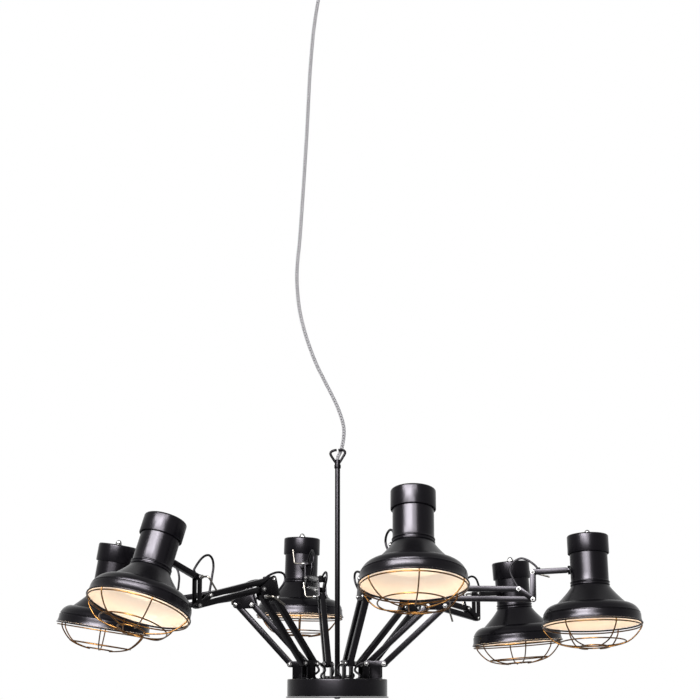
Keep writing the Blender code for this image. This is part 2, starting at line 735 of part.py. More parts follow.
def build_cord(start_level, end_level):
    """The braided cord, square to the nipple and to the grip where it meets them."""
    route = [Vector((0, 0, start_level + SEAT))] + [Vector(p) for p in CORD_ROUTE]
    route += [Vector((0, 0, end_level - SEAT - 2 * CORD_RADIUS)), Vector((0, 0, end_level - SEAT))]
    points = smooth_route(route, CORD_POINT_SPACING)
    curve = bpy.data.curves.new("suspension_cord", "CURVE")
    curve.dimensions = "3D"
    curve.bevel_depth = CORD_RADIUS
    curve.bevel_resolution = 1
    curve.use_fill_caps = True
    spline = curve.splines.new("POLY")
    spline.points.add(len(points) - 1)
    for slot, spot in zip(spline.points, points):
        slot.co = (*spot, 1)
    curve.materials.append(material(BRAID))
    made = bpy.data.objects.new("suspension_cord", curve)
    bpy.context.scene.collection.objects.link(made)


def build_rose():
    """The ceiling cup with its plate on top, which has a hole for the house wires, and its cord grip."""
    grip_end = -ROSE_HEIGHT - CORD_GRIP_HEIGHT
    profile = [
        (0, 0),
        (ROSE_RADIUS, 0),
        (ROSE_RADIUS, ROSE_CROWN - ROSE_HEIGHT),
        (ROSE_RADIUS - ROSE_CROWN, -ROSE_HEIGHT),
        (CORD_GRIP_RADIUS, -ROSE_HEIGHT),
        (CORD_GRIP_TIP_RADIUS, grip_end),
        (0, grip_end),
    ]
    cup = bmesh.new()
    turned(cup, profile, ROSE_SIDES)
    inner = ROSE_RADIUS - ROSE_WALL
    floor = ROSE_WALL - ROSE_HEIGHT
    hollow = bmesh.new()
    space = [(0, -CEILING_PLATE_THICK), (inner, -CEILING_PLATE_THICK), (inner, ROSE_CROWN - ROSE_HEIGHT)]
    turned(hollow, space + [(inner - ROSE_CROWN, floor), (0, floor)], ROSE_SIDES)
    low = -CEILING_PLATE_THICK - OVERRUN
    hole = [(0, OVERRUN), (WIRE_HOLE_RADIUS, OVERRUN), (WIRE_HOLE_RADIUS, low), (0, low)]
    turned(hollow, hole, HOLE_SIDES, offset=(0, WIRE_HOLE_OFFSET, 0))
    cup = finished_mesh("rose_cup", cup, BLACK)
    hollow = finished_mesh("rose_hollow", hollow, BLACK)
    bm = bmesh.new()
    bm.from_mesh(carved(cup, hollow, "DIFFERENCE"))
    piece("ceiling_rose", finished_mesh("ceiling_rose", bm, BLACK), None)
    return grip_end


def main():
    clear_scene()
    hub = empty("hub_frame", place=(0, 0, -DROP))
    grip_end = build_rose()
    build_hub(hub)
    nipple_top = build_stem(hub)
    build_cord(nipple_top - DROP, grip_end)
    build_arms(hub)


main()
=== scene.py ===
"""Looks of a spider pendant light: satin black arms, caged bell shades and a braided cord.

Each piece is made in the frame of the CAD body that carries it, in metres, and is then
put in its place in the row frame. The pose is the one that ARMS gives, in degrees.
"""

import math
from collections import namedtuple

import bmesh
import bpy
from mathutils import Matrix, Vector


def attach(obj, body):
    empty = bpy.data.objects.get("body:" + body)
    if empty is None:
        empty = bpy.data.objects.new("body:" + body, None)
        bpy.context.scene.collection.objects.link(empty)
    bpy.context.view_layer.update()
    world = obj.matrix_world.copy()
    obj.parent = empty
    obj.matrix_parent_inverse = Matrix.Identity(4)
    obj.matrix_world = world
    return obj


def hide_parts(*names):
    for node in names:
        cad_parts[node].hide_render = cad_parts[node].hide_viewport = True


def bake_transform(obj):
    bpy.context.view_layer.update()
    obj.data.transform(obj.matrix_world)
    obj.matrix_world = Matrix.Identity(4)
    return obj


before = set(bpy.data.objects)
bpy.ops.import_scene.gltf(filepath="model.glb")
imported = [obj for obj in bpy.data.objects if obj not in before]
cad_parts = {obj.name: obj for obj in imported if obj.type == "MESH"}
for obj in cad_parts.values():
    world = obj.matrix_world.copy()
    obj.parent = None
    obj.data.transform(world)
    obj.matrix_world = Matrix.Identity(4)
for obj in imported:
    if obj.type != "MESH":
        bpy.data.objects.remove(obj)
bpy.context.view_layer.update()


def mm(*points):
    """Points that are given in millimetres, in metres."""
    return [tuple(value / 1000 for value in point) for point in points]


# Sizes of the part
SEAT = 0.0003
DROP = 1.3333
HUB_TOP = 0.0298
HUB_RADIUS = 0.081
HUB_WALL = 0.0016
HUB_EDGE = 0.0022
BASE_PLATE_RADIUS = 0.083
BASE_PLATE_THICK = 0.002
STEM_RADIUS = 0.00425
STEM_TOP = HUB_TOP + SEAT + 0.3425
COLLAR_RADIUS = 0.00545
COLLAR_HEIGHT = 0.006
NIPPLE_RADIUS = 0.0047
NIPPLE_HEIGHT = 0.0085
ROSE_RADIUS = 0.060
ROSE_HEIGHT = 0.025
GRIP_END = -0.043
CORD_RADIUS = 0.003
BAR_SIZE = 0.009
BAR_END_CHAMFER = 0.003
PLATE_INNER = 0.0048
PLATE_OUTER = 0.0068
PIVOT_SPACING = 0.028
LOWER_BAR_LENGTH = 0.1365
UPPER_BAR_LENGTH = 0.1385
BRACKET_RADIUS = 0.0645
BRACKET_LENGTH = 0.019
BRACKET_PIVOT_HEIGHT = 0.024
BRACKET_EAR_RADIUS = 0.005
BRACKET_FLOOR = 0.0022
ELBOW_OUTER = (0.0028, 0.0118)
ELBOW_INNER = (-0.0197, 0.0282)
ELBOW_MARGIN = 0.0058
HEAD_INNER = (-0.0225, 0.0164)
HEAD_RISE = 0.043
HEAD_STRIP_HALF = 0.0042
LAMP_REACH = 0.090
SWIVEL_COLLAR_RADIUS = 0.0070
SWIVEL_COLLAR_THICK = 0.0035
TOP_RISE = 0.054
CAP_RADIUS = 0.033
CAP_HEIGHT = 0.030
CAP_EDGE = 0.0030
NECK_RADIUS = 0.030
NECK_END = -0.020
BEAD_LEVELS = (NECK_END - 0.0018, NECK_END - 0.0062)
BEAD_HEIGHT = 0.0014
BEAD_HALF = 0.0017
FLARE_TOP = -0.027
FLARE_END = -0.0574
FLARE_RADIUS = 0.0566
FLARE_BEND = 1.2
DOME_END = -0.0784
DOME_RADIUS = 0.077
RIM_LEVEL = -0.090
RIM_RADIUS = 0.080
ROLL_RADIUS = 0.0012
SHADE_WALL = 0.0012
# The dome's lower part, as (radius, level) down from its top curve: a lip, a groove and a band
DOME_BAND = mm(
    (76, -71.1), (76.4, -71.7), (76.3, -72.3), (75.9, -72.7), (75.9, -73.5), (76.5, -74), (77.1, -74.5),
    (77.3, -75.4), (77.4, -79), (77.6, -81.6), (78.1, -84.2), (78.9, -86.8),
)
HOLDER_RADIUS = 0.014
HOLDER_END = 0.0028
BULB_RADIUS = 0.0225
BULB_LEVEL = -0.0367
GLOW_REACH = 0.030
CAGE_WIRES = 6
# The cage's wires look a little thinner than the ones in the solids
CAGE_WIRE_RADIUS = 0.92 * 0.0012
CAGE_RIM = (0.0773, -0.0922)
CAGE_MID = (0.0515, -0.116)
CAGE_END = (0.0215, -0.123)
# A bent cage wire, as (radius, level) from the shade's edge to the end ring
CAGE_PROFILE = mm(
    (77.6, -87.4), (77.5, -92.5), (75.2, -97.5), (69.2, -105), (62, -111.8), (54, -116.9), (44, -120.3),
    (33, -122.7), (22.5, -124.2), (19.6, -124.5),
)
LEVER_STUB = 0.018
LEVER_HANDLE = 0.025
LEVER_BEND = 0.004
LEVER_LEAN = 0.003
LEVER_ROD_RADIUS = 0.0015
LEVER_BOSS = (0.0032, 0.0050)
LEVER_GROOVE = 0.85
CABLE_RADIUS = 0.0018

Arm = namedtuple("Arm", "number azimuth swivel lower upper tilt roll elbow_lever head_lever cage_turn")
ARMS = [
    Arm(1, 165, -3.4, 45.6, -7.3, 8.9, 2.2, 100, -120, -7),
    Arm(2, 225, 2.0, 48.3, -12.7, 21.0, 0.2, -150, -125, 3),
    Arm(3, 105, -5.5, 58.2, 4.8, -0.8, 1.6, 80, 85, -7),
    Arm(4, 285, 1.5, 47.5, 5.6, 13.4, -4.5, 110, -90, -12),
    Arm(5, 45, -5.9, 44.3, -10.5, 2.9, -3.2, 80, -110, -4),
    Arm(6, -15, 3.1, 42.2, -1.0, 2.3, -5.8, -75, -15, 3),
]

# The cord's route, in metres below the ceiling, from the nipple up to the rose
CORD_ROUTE = [
    (0, 0, -0.9456), (0, 0, -0.9428), (0.0014, 0.0026, -0.9390), (0.0036, 0.0052, -0.9345),
    (0.0058, 0.0062, -0.9290), (0.0083, 0.0062, -0.9190), (0.0102, 0.0052, -0.9060),
    (0.0101, 0.0036, -0.8915), (0.0061, 0.0018, -0.8747), (-0.0036, 0.0004, -0.8497),
    (-0.0190, 0, -0.8189), (-0.0356, 0, -0.7852), (-0.0496, 0, -0.7484), (-0.0595, 0, -0.7144),
    (-0.0652, 0, -0.6859), (-0.0682, 0, -0.6575), (-0.0692, 0, -0.6316), (-0.0676, 0, -0.6028),
    (-0.0644, 0, -0.5682), (-0.0592, 0, -0.4860), (-0.0559, 0, -0.4297), (-0.0529, 0, -0.3732),
    (-0.0504, 0, -0.3161), (-0.0483, 0, -0.2729), (-0.0452, 0, -0.2297), (-0.0417, 0, -0.1921),
    (-0.0344, 0, -0.1426), (-0.0270, 0, -0.1180), (-0.0170, 0, -0.0960), (-0.0070, 0, -0.0770),
    (-0.0014, 0, -0.0610), (0, 0, -0.0493), (0, 0, -0.0433),
]

# Camera, lamps and floor
CAMERA_PLACE = (0.0206, -3.045, -1.3318)
CAMERA_LENS = 95.14
CAMERA_TILT = 10.62
FLOOR_LEVEL = -2.6
FLOOR_REACH = 14
# Soft boxes: (place, aim, width and height, power)
SOFTBOXES = {
    "front_left_box": ((-1.1, -2.3, -0.75), (0, -0.1, -1.2), (1.5, 1.7), 26),
    "right_back_box": ((1.9, 1.3, -0.5), (0, 0, -1.2), (1.2, 1.6), 22),
}
# Glare lamps: (degrees to the right of the camera, degrees up, width and height, power)
GLARE_AIM = Vector((0, -0.25, -1.15))
GLARE_REACH = 2.6
GLARE_LAMPS = {
    "high_left_glare": (-32, 36, (1.9, 0.45), 300),
    "high_front_glare": (3, 36, (1.28, 0.45), 115),
    "middle_left_glare": (-25, 26, (1.28, 0.45), 230),
    "middle_front_glare": (-4, 26, (0.7, 0.45), 52),
    "low_left_glare": (-34, 14, (1.1, 0.6), 60),
    "low_front_glare": (-7, 14, (1.3, 0.6), 130),
}


def new_node(tree, kind, inputs=None, **settings):
    """A node with its settings, its inputs fed by sockets or plain values."""
    made = tree.nodes.new(kind)
    for label, value in settings.items():
        setattr(made, label, value)
    for key, value in (inputs or {}).items():
        if isinstance(value, bpy.types.NodeSocket):
            tree.links.new(value, made.inputs[key])
        else:
            made.inputs[key].default_value = value
    return made


def maths(operation, *values):
    """A Math node in the tree of the sockets that feed it, and its output."""
    tree = next(value.id_data for value in values if isinstance(value, bpy.types.NodeSocket))
    return new_node(tree, "ShaderNodeMath", dict(enumerate(values)), operation=operation).outputs[0]


def in_scene(name, data):
    """A new object, put into the scene."""
    made = bpy.data.objects.new(name, data)
    bpy.context.scene.collection.objects.link(made)
    return made


def plain_mesh(name, bm):
    mesh = bpy.data.meshes.new(name)
    bm.to_mesh(mesh)
    bm.free()
    return mesh


def add_camera():
    data = bpy.data.cameras.new("photo_camera")
    data.lens = CAMERA_LENS
    camera = in_scene("photo_camera", data)
    camera.location = CAMERA_PLACE
    camera.rotation_euler = (math.radians(90 + CAMERA_TILT), 0, 0)
    bpy.context.scene.camera = camera


def add_softbox(name, place, aim, size, power, glare=False):
    """A soft lamp: one that lights surfaces, or one that shows only as a glare on them."""
    data = bpy.data.lights.new(name, "AREA")
    data.shape = "RECTANGLE"
    data.size, data.size_y = size
    data.energy = power
    light = in_scene(name, data)
    light.location = place
    light.rotation_euler = (Vector(place) - Vector(aim)).to_track_quat("Z", "Y").to_euler()
    light.visible_camera = False
    light.visible_diffuse = not glare
    light.visible_glossy = glare


def add_lamps():
    """Two soft boxes, and one large soft lamp that shows on the coats, as patches by brightness."""
    for name, (place, aim, size, power) in SOFTBOXES.items():
        add_softbox(name, place, aim, size, power)
    for name, (right, up, size, power) in GLARE_LAMPS.items():
        turn, rise = math.radians(right), math.radians(up)
        level = math.cos(rise)
        way = Vector((math.sin(turn) * level, -math.cos(turn) * level, math.sin(rise)))
        add_softbox(name, GLARE_AIM + way * GLARE_REACH, GLARE_AIM, size, power, glare=True)


def add_world():
    """White where the camera or a reflection sees it, and an even soft light on surfaces."""
    world = bpy.data.worlds.new("white_studio")
    world.use_nodes = True
    tree = world.node_tree
    tree.nodes.clear()
    path = new_node(tree, "ShaderNodeLightPath").outputs
    seen = maths("MAXIMUM", path["Is Camera Ray"], path["Is Glossy Ray"])
    seen = maths("MAXIMUM", seen, path["Is Transmission Ray"])
    white = new_node(tree, "ShaderNodeBackground", {"Color": (1, 1, 1, 1)})
    soft = new_node(tree, "ShaderNodeBackground", {"Color": (0.95, 0.97, 1.0, 1), "Strength": 0.55})
    mix = new_node(tree, "ShaderNodeMixShader", {0: seen, 1: soft.outputs[0], 2: white.outputs[0]})
    new_node(tree, "ShaderNodeOutputWorld", {"Surface": mix.outputs[0]})
    bpy.context.scene.world = world


def add_floor():
    """A pale floor at a room's height below the ceiling, clear when seen from below."""
    mesh = bpy.data.meshes.new("studio_floor")
    corners = [(-1, -1), (1, -1), (1, 1), (-1, 1)]
    spots = [(x * FLOOR_REACH, y * FLOOR_REACH, FLOOR_LEVEL) for x, y in corners]
    mesh.from_pydata(spots, [], [(0, 1, 2, 3)])
    made = bpy.data.materials.new("pale_floor")
    made.use_nodes = True
    tree = made.node_tree
    shader = tree.nodes["Principled BSDF"]
    shader.inputs["Base Color"].default_value = (0.86, 0.86, 0.86, 1)
    shader.inputs["Roughness"].default_value = 0.9
    clear = new_node(tree, "ShaderNodeBsdfTransparent").outputs[0]
    back = new_node(tree, "ShaderNodeNewGeometry").outputs["Backfacing"]
    mix = new_node(tree, "ShaderNodeMixShader", {0: back, 1: shader.outputs[0], 2: clear})
    tree.links.new(mix.outputs[0], tree.nodes["Material Output"].inputs["Surface"])
    mesh.materials.append(made)
    floor = in_scene("studio_floor", mesh)


# Shader groups


SOCKETS = {tuple: "NodeSocketColor", float: "NodeSocketFloat", int: "NodeSocketInt"}


def node_group(name, kind, inputs, outputs):
    """A group and its inner sockets: an input is given by a default value or by its kind."""
    tree = bpy.data.node_groups.new(name, kind)
    for label, value in inputs.items():
        socket = SOCKETS.get(type(value), value)
        made = tree.interface.new_socket(label, in_out="INPUT", socket_type=socket)
        if socket != value:
            made.default_value = value
    for label, socket in outputs.items():
        tree.interface.new_socket(label, in_out="OUTPUT", socket_type=socket)
    return tree, tree.nodes.new("NodeGroupInput").outputs, tree.nodes.new("NodeGroupOutput").inputs


def noise(vector, scale, detail):
    inputs = {"Vector": vector, "Scale": scale, "Detail": detail}
    return new_node(vector.id_data, "ShaderNodeTexNoise", inputs).outputs["Fac"]


def blended(share, first, second):
    inputs = {"Factor": share, "A": first, "B": second}
    return new_node(share.id_data, "ShaderNodeMix", inputs, data_type="RGBA").outputs["Result"]


def spread(value, low, high):
    """A value of 0 to 1 mapped to a range that sockets or numbers give."""
    inputs = {"Value": value, "To Min": low, "To Max": high}
    return new_node(value.id_data, "ShaderNodeMapRange", inputs).outputs["Result"]


def bump(height, depth, distance):
    inputs = {"Height": height, "Strength": depth, "Distance": distance}
    return new_node(height.id_data, "ShaderNodeBump", inputs).outputs["Normal"]


def pick(choice, first, second):
    """The first value where choice is 0, and the second where it is 1."""
    kept = maths("MULTIPLY", first, maths("SUBTRACT", 1.0, choice))
    return maths("ADD", kept, maths("MULTIPLY", second, choice))


COLOUR_OUT = {"Colour": "NodeSocketColor"}
SURFACE_OUT = {**COLOUR_OUT, "Roughness": "NodeSocketFloat", "Normal": "NodeSocketVector"}
BRAID_OUT = {**COLOUR_OUT, "Roughness": "NodeSocketFloat", "Height": "NodeSocketFloat"}


def wear_values(fresh, worn, smooth, rough, grain):
    """The inputs that coats and metals share."""
    return {
        "Fresh Colour": (*fresh, 1),
        "Worn Colour": (*worn, 1),
        "Least Roughness": smooth,
        "Most Roughness": rough,
        "Grain Depth": grain,
    }


def join_wear(given, out, share, dull, grain, depth):
    """Colour by the share that is worn, roughness by the share that is dull, and a fine grain."""
    join = share.id_data.links.new
    join(blended(share, given["Fresh Colour"], given["Worn Colour"]), out["Colour"])
    join(spread(dull, given["Least Roughness"], given["Most Roughness"]), out["Roughness"])
    join(bump(grain, given["Grain Depth"], depth), out["Normal"])


def coated_surface():
    """Powder coat and enamel: fine orange peel, slow tone changes and dusty patches."""
    inputs = wear_values((0.02, 0.02, 0.02), (0.03, 0.03, 0.03), 0.32, 0.45, 0.1)
    inputs["Grain Scale"] = 1400.0
    tree, given, out = node_group("coated_surface", "ShaderNodeTree", inputs, SURFACE_OUT)
    place = new_node(tree, "ShaderNodeTexCoord").outputs["Object"]
    patches = noise(place, 26.0, 5.0)
    mottle = noise(place, 240.0, 3.0)
    grain = noise(place, given["Grain Scale"], 2.0)
    share = maths("MULTIPLY", patches, maths("ADD", mottle, 0.35))
    join_wear(given, out, share, patches, grain, 0.00015)
    return tree


def bare_metal():
    """Plated or bare wire: fine scuffs, and tarnish in patches."""
    inputs = wear_values((0.8, 0.8, 0.8), (0.3, 0.3, 0.3), 0.16, 0.38, 0.08)
    inputs["Patch Scale"] = 90.0
    tree, given, out = node_group("bare_metal", "ShaderNodeTree", inputs, SURFACE_OUT)
    place = new_node(tree, "ShaderNodeTexCoord").outputs["Object"]
    patches = noise(place, given["Patch Scale"], 6.0)
    scuffs = noise(place, 2600.0, 2.0)
    sharp = spread(patches, -0.9, 1.6)
    share = maths("MINIMUM", maths("MAXIMUM", sharp, 0.0), 1.0)
    join_wear(given, out, share, share, scuffs, 0.00008)
    return tree


def braided_sleeve():
    """Pale yarns that cross over and under along a UV strip, with one dark yarn in four."""
    inputs = {
        "Dark Yarn": (0.02, 0.02, 0.02, 1),
        "Pale Yarn": (0.52, 0.50, 0.52, 1),
        "Yarns Around": 2.0,
        "Crossings Along": 150.0,
        "Threads In Yarn": 5.0,
    }
    tree, given, out = node_group("braided_sleeve", "ShaderNodeTree", inputs, BRAID_OUT)
    join = tree.links.new
    strip = new_node(tree, "ShaderNodeTexCoord").outputs["UV"]
    split = new_node(tree, "ShaderNodeSeparateXYZ", {0: strip}).outputs
    around = maths("MULTIPLY", split["X"], given["Yarns Around"])
    along = maths("MULTIPLY", split["Y"], given["Crossings Along"])
    runs = [maths("ADD", around, along), maths("SUBTRACT", around, along)]
    right_cell, left_cell = [maths("FLOOR", run) for run in runs]
    right_share, left_share = [maths("FRACT", run) for run in runs]
    on_top = maths("FLOORED_MODULO", maths("ADD", right_cell, left_cell), 2.0)
    left_dark = maths("FLOORED_MODULO", left_cell, 2.0)
    dark = maths("MULTIPLY", on_top, left_dark)
    across = pick(on_top, right_share, left_share)
    lengthwise = pick(on_top, left_share, right_share)
    join(blended(dark, given["Pale Yarn"], given["Dark Yarn"]), out["Colour"])
    crown = maths("SINE", maths("MULTIPLY", across, math.pi))
    arch = maths("SINE", maths("MULTIPLY", lengthwise, math.pi))
    turns = maths("MULTIPLY", given["Threads In Yarn"], math.tau)
    threads = maths("SINE", maths("MULTIPLY", across, turns))
    body = maths("MULTIPLY", crown, maths("ADD", arch, 0.3))
    join(maths("ADD", body, maths("MULTIPLY", threads, 0.12)), out["Height"])
    join(spread(crown, 0.95, 0.8), out["Roughness"])
    return tree


GROUPS = {make.__name__: make() for make in (coated_surface, bare_metal, braided_sleeve)}

# Finishes
BLACK_GRAIN = 0.02
METAL_GRAIN = 0.08
BLACK_SHINE = (0.96, 0.90, 1.0, 1)
# Painted bulb light on the lining: emission strength, and its colour far from and near the bulb
LINING_GLOW = 0.225
FAR_GLOW = (0.62, 0.24, 0.055, 1)
NEAR_GLOW = (1.0, 0.88, 0.72, 1)
BULB_GLOW = 5.0
BULB_COLOUR = (1.0, 0.80, 0.58, 1)
BRAID = {"Crossings Along": 440.0, "Yarns Around": 4.0}
# Black coats: (name, colour, faded colour, least and most roughness, level of the shine)
BLACK_COATS = {
    "shade": ("shade_satin_black", (0.0030, 0.0026, 0.0038), (0.0046, 0.0041, 0.0056), 0.23, 0.27, 0.10),
    "arm": ("arm_satin_black", (0.0026, 0.0023, 0.0028), (0.0044, 0.0039, 0.0046), 0.23, 0.27, 0.10),
    "hub": ("hub_satin_black", (0.0028, 0.0025, 0.0034), (0.0044, 0.0040, 0.0052), 0.23, 0.27, 0.10),
    "rubber": ("black_rubber", (0.004, 0.004, 0.004), (0.007, 0.007, 0.007), 0.5, 0.7, 0.10),
    "cable": ("cable_black", (0.003, 0.0028, 0.003), (0.005, 0.0047, 0.005), 0.34, 0.5, 0.10),
    "loop": ("loop_black_nickel", (0.0022, 0.0020, 0.0024), (0.0040, 0.0036, 0.0040), 0.32, 0.44, 0.04),
    "stem": ("stem_satin_black", (0.0024, 0.0021, 0.0026), (0.0040, 0.0036, 0.0042), 0.26, 0.32, 0.05),
}
# Pale coats: (name, colour, faded colour, least and most roughness, depth of the grain)
PALE_COATS = {
    "lining": ("cream_enamel", (0.90, 0.85, 0.76), (0.82, 0.75, 0.65), 0.32, 0.46, 0.06),
    "holder": ("holder_porcelain", (0.82, 0.80, 0.75), (0.66, 0.63, 0.58), 0.32, 0.45, 0.1),
    "bulb": ("lit_opal_glass", (0.95, 0.92, 0.86), (0.88, 0.84, 0.76), 0.12, 0.22, 0.1),
}
# Metals: (name, colour, tarnish, least and most roughness)
METALS = {
    "steel": ("bright_steel", (0.20, 0.197, 0.195), (0.05, 0.048, 0.046), 0.26, 0.42),
    "lever": ("bronzed_steel", (0.12, 0.111, 0.098), (0.035, 0.032, 0.028), 0.26, 0.40),
    "cage": ("aged_brass_wire", (0.115, 0.054, 0.014), (0.010, 0.006, 0.004), 0.28, 0.42),
}


def finish_with(name, group, values, plain):
    """A material whose colour, roughness and normal come from a group's values."""
    made = bpy.data.materials.new(name)
    made.use_nodes = True
    tree = made.node_tree
    shader = tree.nodes["Principled BSDF"].inputs
    for label, value in plain.items():
        shader[label].default_value = value
    box = new_node(tree, "ShaderNodeGroup", values, node_tree=GROUPS[group]).outputs
    normal = box["Normal"] if "Normal" in box else bump(box["Height"], 0.8, 0.0006)
    tree.links.new(box["Colour"], shader["Base Color"])
    tree.links.new(box["Roughness"], shader["Roughness"])
    tree.links.new(normal, shader["Normal"])
    return made


def make_finishes():
    made = {}
    for key, (name, *wear) in PALE_COATS.items():
        made[key] = finish_with(name, "coated_surface", wear_values(*wear), {})
    for key, (name, *wear) in METALS.items():
        made[key] = finish_with(name, "bare_metal", wear_values(*wear, METAL_GRAIN), {"Metallic": 1.0})
    for key, (name, *wear, level) in BLACK_COATS.items():
        shine = {"Specular IOR Level": level, "Specular Tint": BLACK_SHINE}
        made[key] = finish_with(name, "coated_surface", wear_values(*wear, BLACK_GRAIN), shine)
    made["braid"] = finish_with("houndstooth_braid", "braided_sleeve", BRAID, {})
    add_lining_glow(made["lining"])
    bulb = made["bulb"].node_tree.nodes["Principled BSDF"].inputs
    bulb["Emission Color"].default_value = BULB_COLOUR
    bulb["Emission Strength"].default_value = BULB_GLOW
    return made


def add_lining_glow(finish):
    """Painted bulb light in the enamel: an emission, cream close to the bulb and amber far from it."""
    group, _, out = node_group("bulb_glow", "ShaderNodeTree", {}, COLOUR_OUT)
    near = new_node(group, "ShaderNodeAttribute", attribute_name="bulb_light").outputs["Fac"]
    group.links.new(blended(near, FAR_GLOW, NEAR_GLOW), out["Colour"])
    tree = finish.node_tree
    box = new_node(tree, "ShaderNodeGroup", node_tree=group)
    shader = tree.nodes["Principled BSDF"].inputs
    tree.links.new(box.outputs["Colour"], shader["Emission Color"])
    shader["Emission Strength"].default_value = LINING_GLOW


# Shapes in code
SHARP_CORNER = math.radians(24)
CORNER_SHARE = 0.45


def arc(centre, radius, start, end, steps):
    turns = [math.radians(start + (end - start) * i / steps) for i in range(steps + 1)]
    return [(centre[0] + radius * math.cos(t), centre[1] + radius * math.sin(t)) for t in turns]


def circle(centre, radius, steps):
    return arc(centre, radius, 0, 360, steps)[:-1]


def drum(radius, low, high):
    """The side profile of a plain round bar."""
    return [(0, low), (radius, low), (radius, high), (0, high)]


def rounded(start, corner, end, steps):
    """A curve from start to end that rounds off the corner between them."""
    shares = [k / steps for k in range(steps + 1)]
    return [start * (1 - t) ** 2 + corner * (2 * t * (1 - t)) + end * t**2 for t in shares]


def softened(points, radius, steps):
    """A flat path with each sharp corner turned into a small curve."""
    path = [Vector(p) for p in points]
    made = [path[0]]
    for last, spot, following in zip(path, path[1:], path[2:]):
        before, after = last - spot, following - spot
        if not before.length or not after.length or before.angle(-after, 0) < SHARP_CORNER:
            made.append(spot)
            continue
        reach = min(radius, before.length * CORNER_SHARE, after.length * CORNER_SHARE)
        start, end = spot + before.normalized() * reach, spot + after.normalized() * reach
        made += rounded(start, spot, end, steps)
    return [tuple(spot) for spot in made + path[-1:]]


def band(bm, low, high):
    """The faces between two rings of points, either of which may be one point repeated."""
    corners = zip(low, low[1:] + low[:1], high[1:] + high[:1], high)
    return [bm.faces.new(dict.fromkeys(face)) for face in corners]


def lathed(bm, profile, sides):
    """A closed side profile of (radius, height) turned round the height."""
    turns = [math.tau * i / sides for i in range(sides)]
    rings = []
    for radius, height in profile:
        if radius < 1e-7:
            rings.append([bm.verts.new((0, 0, height))] * sides)
            continue
        rings.append([bm.verts.new((radius * math.cos(t), radius * math.sin(t), height)) for t in turns])
    faces = []
    for low, high in zip(rings, rings[1:] + rings[:1]):
        if low[0] is not low[1] or high[0] is not high[1]:
            faces += band(bm, low, high)
    bmesh.ops.recalc_face_normals(bm, faces=faces)


def slab(bm, outline, front, back, edge, steps=2):
    """A side view given a thickness across Y, with rounded edges all round."""
    low = [bm.verts.new((x, front, z)) for x, z in outline]
    high = [bm.verts.new((x, back, z)) for x, z in outline]
    sides = [bm.faces.new(low), bm.faces.new(high)]
    bmesh.ops.recalc_face_normals(bm, faces=sides + band(bm, low, high))
    rims = [e for face in sides for e in face.edges]
    bmesh.ops.bevel(bm, geom=rims, offset=edge, segments=steps, profile=0.5, affect="EDGES")


def bevelled_block(bm, size, middle, edge):
    """A block with every edge rounded."""
    made = bmesh.ops.create_cube(bm, size=1)["verts"]
    bmesh.ops.scale(bm, vec=size, verts=made)
    bmesh.ops.translate(bm, vec=middle, verts=made)
    edges = list({e for v in made for e in v.link_edges})
    bmesh.ops.bevel(bm, geom=edges, offset=edge, segments=3, profile=0.5, affect="EDGES")


def curved_path(points, spacing):
    """A smooth curve through the points, with steps no longer than the spacing."""
    path = [Vector(p) for p in points]
    ends = [path[0] * 2 - path[1]] + path + [path[-1] * 2 - path[-2]]
    made = []
    for a, b, c, d in zip(ends, ends[1:], ends[2:], ends[3:]):
        steps = max(1, math.ceil((c - b).length / spacing))
        for i in range(steps):
            t = i / steps
            bend = (2 * a - 5 * b + 4 * c - d) * t**2 + (3 * b - a - 3 * c + d) * t**3
            made.append((2 * b + (c - a) * t + bend) / 2)
    return made + [path[-1]]


def strip_mapped_tube(name, path, radius, sides):
    """A tube with U round it and V along it, in metres, so that a weave follows it."""
    bm = bmesh.new()
    sheet = bm.loops.layers.uv.new("UVMap")
    ahead = path[1:] + path[-1:]
    behind = path[:1] + path[:-1]
    side = Vector((1, 0, 0))
    rings, lengths, run = [], [], 0.0
    for i, (spot, after, before) in enumerate(zip(path, ahead, behind)):
        way = (after - before).normalized()
        side = (side - way * side.dot(way)).normalized()
        other = way.cross(side)
        if i:
            run += (spot - path[i - 1]).length
        lengths.append(run)
        turns = [math.tau * k / sides for k in range(sides)]
        ring = [spot + (side * math.cos(t) + other * math.sin(t)) * radius for t in turns]
        rings.append([bm.verts.new(p) for p in ring])
    for i, (low, high) in enumerate(zip(rings, rings[1:])):
        for k, face in enumerate(band(bm, low, high)):
            corners = [(k, i), (k + 1, i), (k + 1, i + 1), (k, i + 1)]
            for loop, (u, v) in zip(face.loops, corners):
                loop[sheet].uv = (u / sides, lengths[v])
    bm.faces.new(reversed(rings[0]))
    bm.faces.new(rings[-1])
    return plain_mesh(name, bm)


# Geometry node trees
MESH_OUT = {"Geometry": "NodeSocketGeometry"}


def finish_tree(tree, geometry, finish, out):
    """A tree's last steps, which make its instances real and give them their finish."""
    real = new_node(tree, "GeometryNodeRealizeInstances", {"Geometry": geometry})
    inputs = {"Geometry": real.outputs["Geometry"], "Material": finish}
    coated = new_node(tree, "GeometryNodeSetMaterial", inputs)
    tree.links.new(coated.outputs["Geometry"], out["Geometry"])


def wire_tree():
    """Gives curves a round section, closed ends and a finish."""
    inputs = {
        "Path": "NodeSocketGeometry",
        "Wire Radius": 0.001,
        "Sides": 12,
        "Finish": "NodeSocketMaterial",
    }
    tree, given, out = node_group("round_wire", "GeometryNodeTree", inputs, MESH_OUT)
    inputs = {"Radius": given["Wire Radius"], "Resolution": given["Sides"]}
    section = new_node(tree, "GeometryNodeCurvePrimitiveCircle", inputs)
    inputs = {"Curve": given["Path"], "Profile Curve": section.outputs["Curve"], "Fill Caps": True}
    sweep = new_node(tree, "GeometryNodeCurveToMesh", inputs)
    finish_tree(tree, sweep.outputs["Mesh"], given["Finish"], out)
    return tree


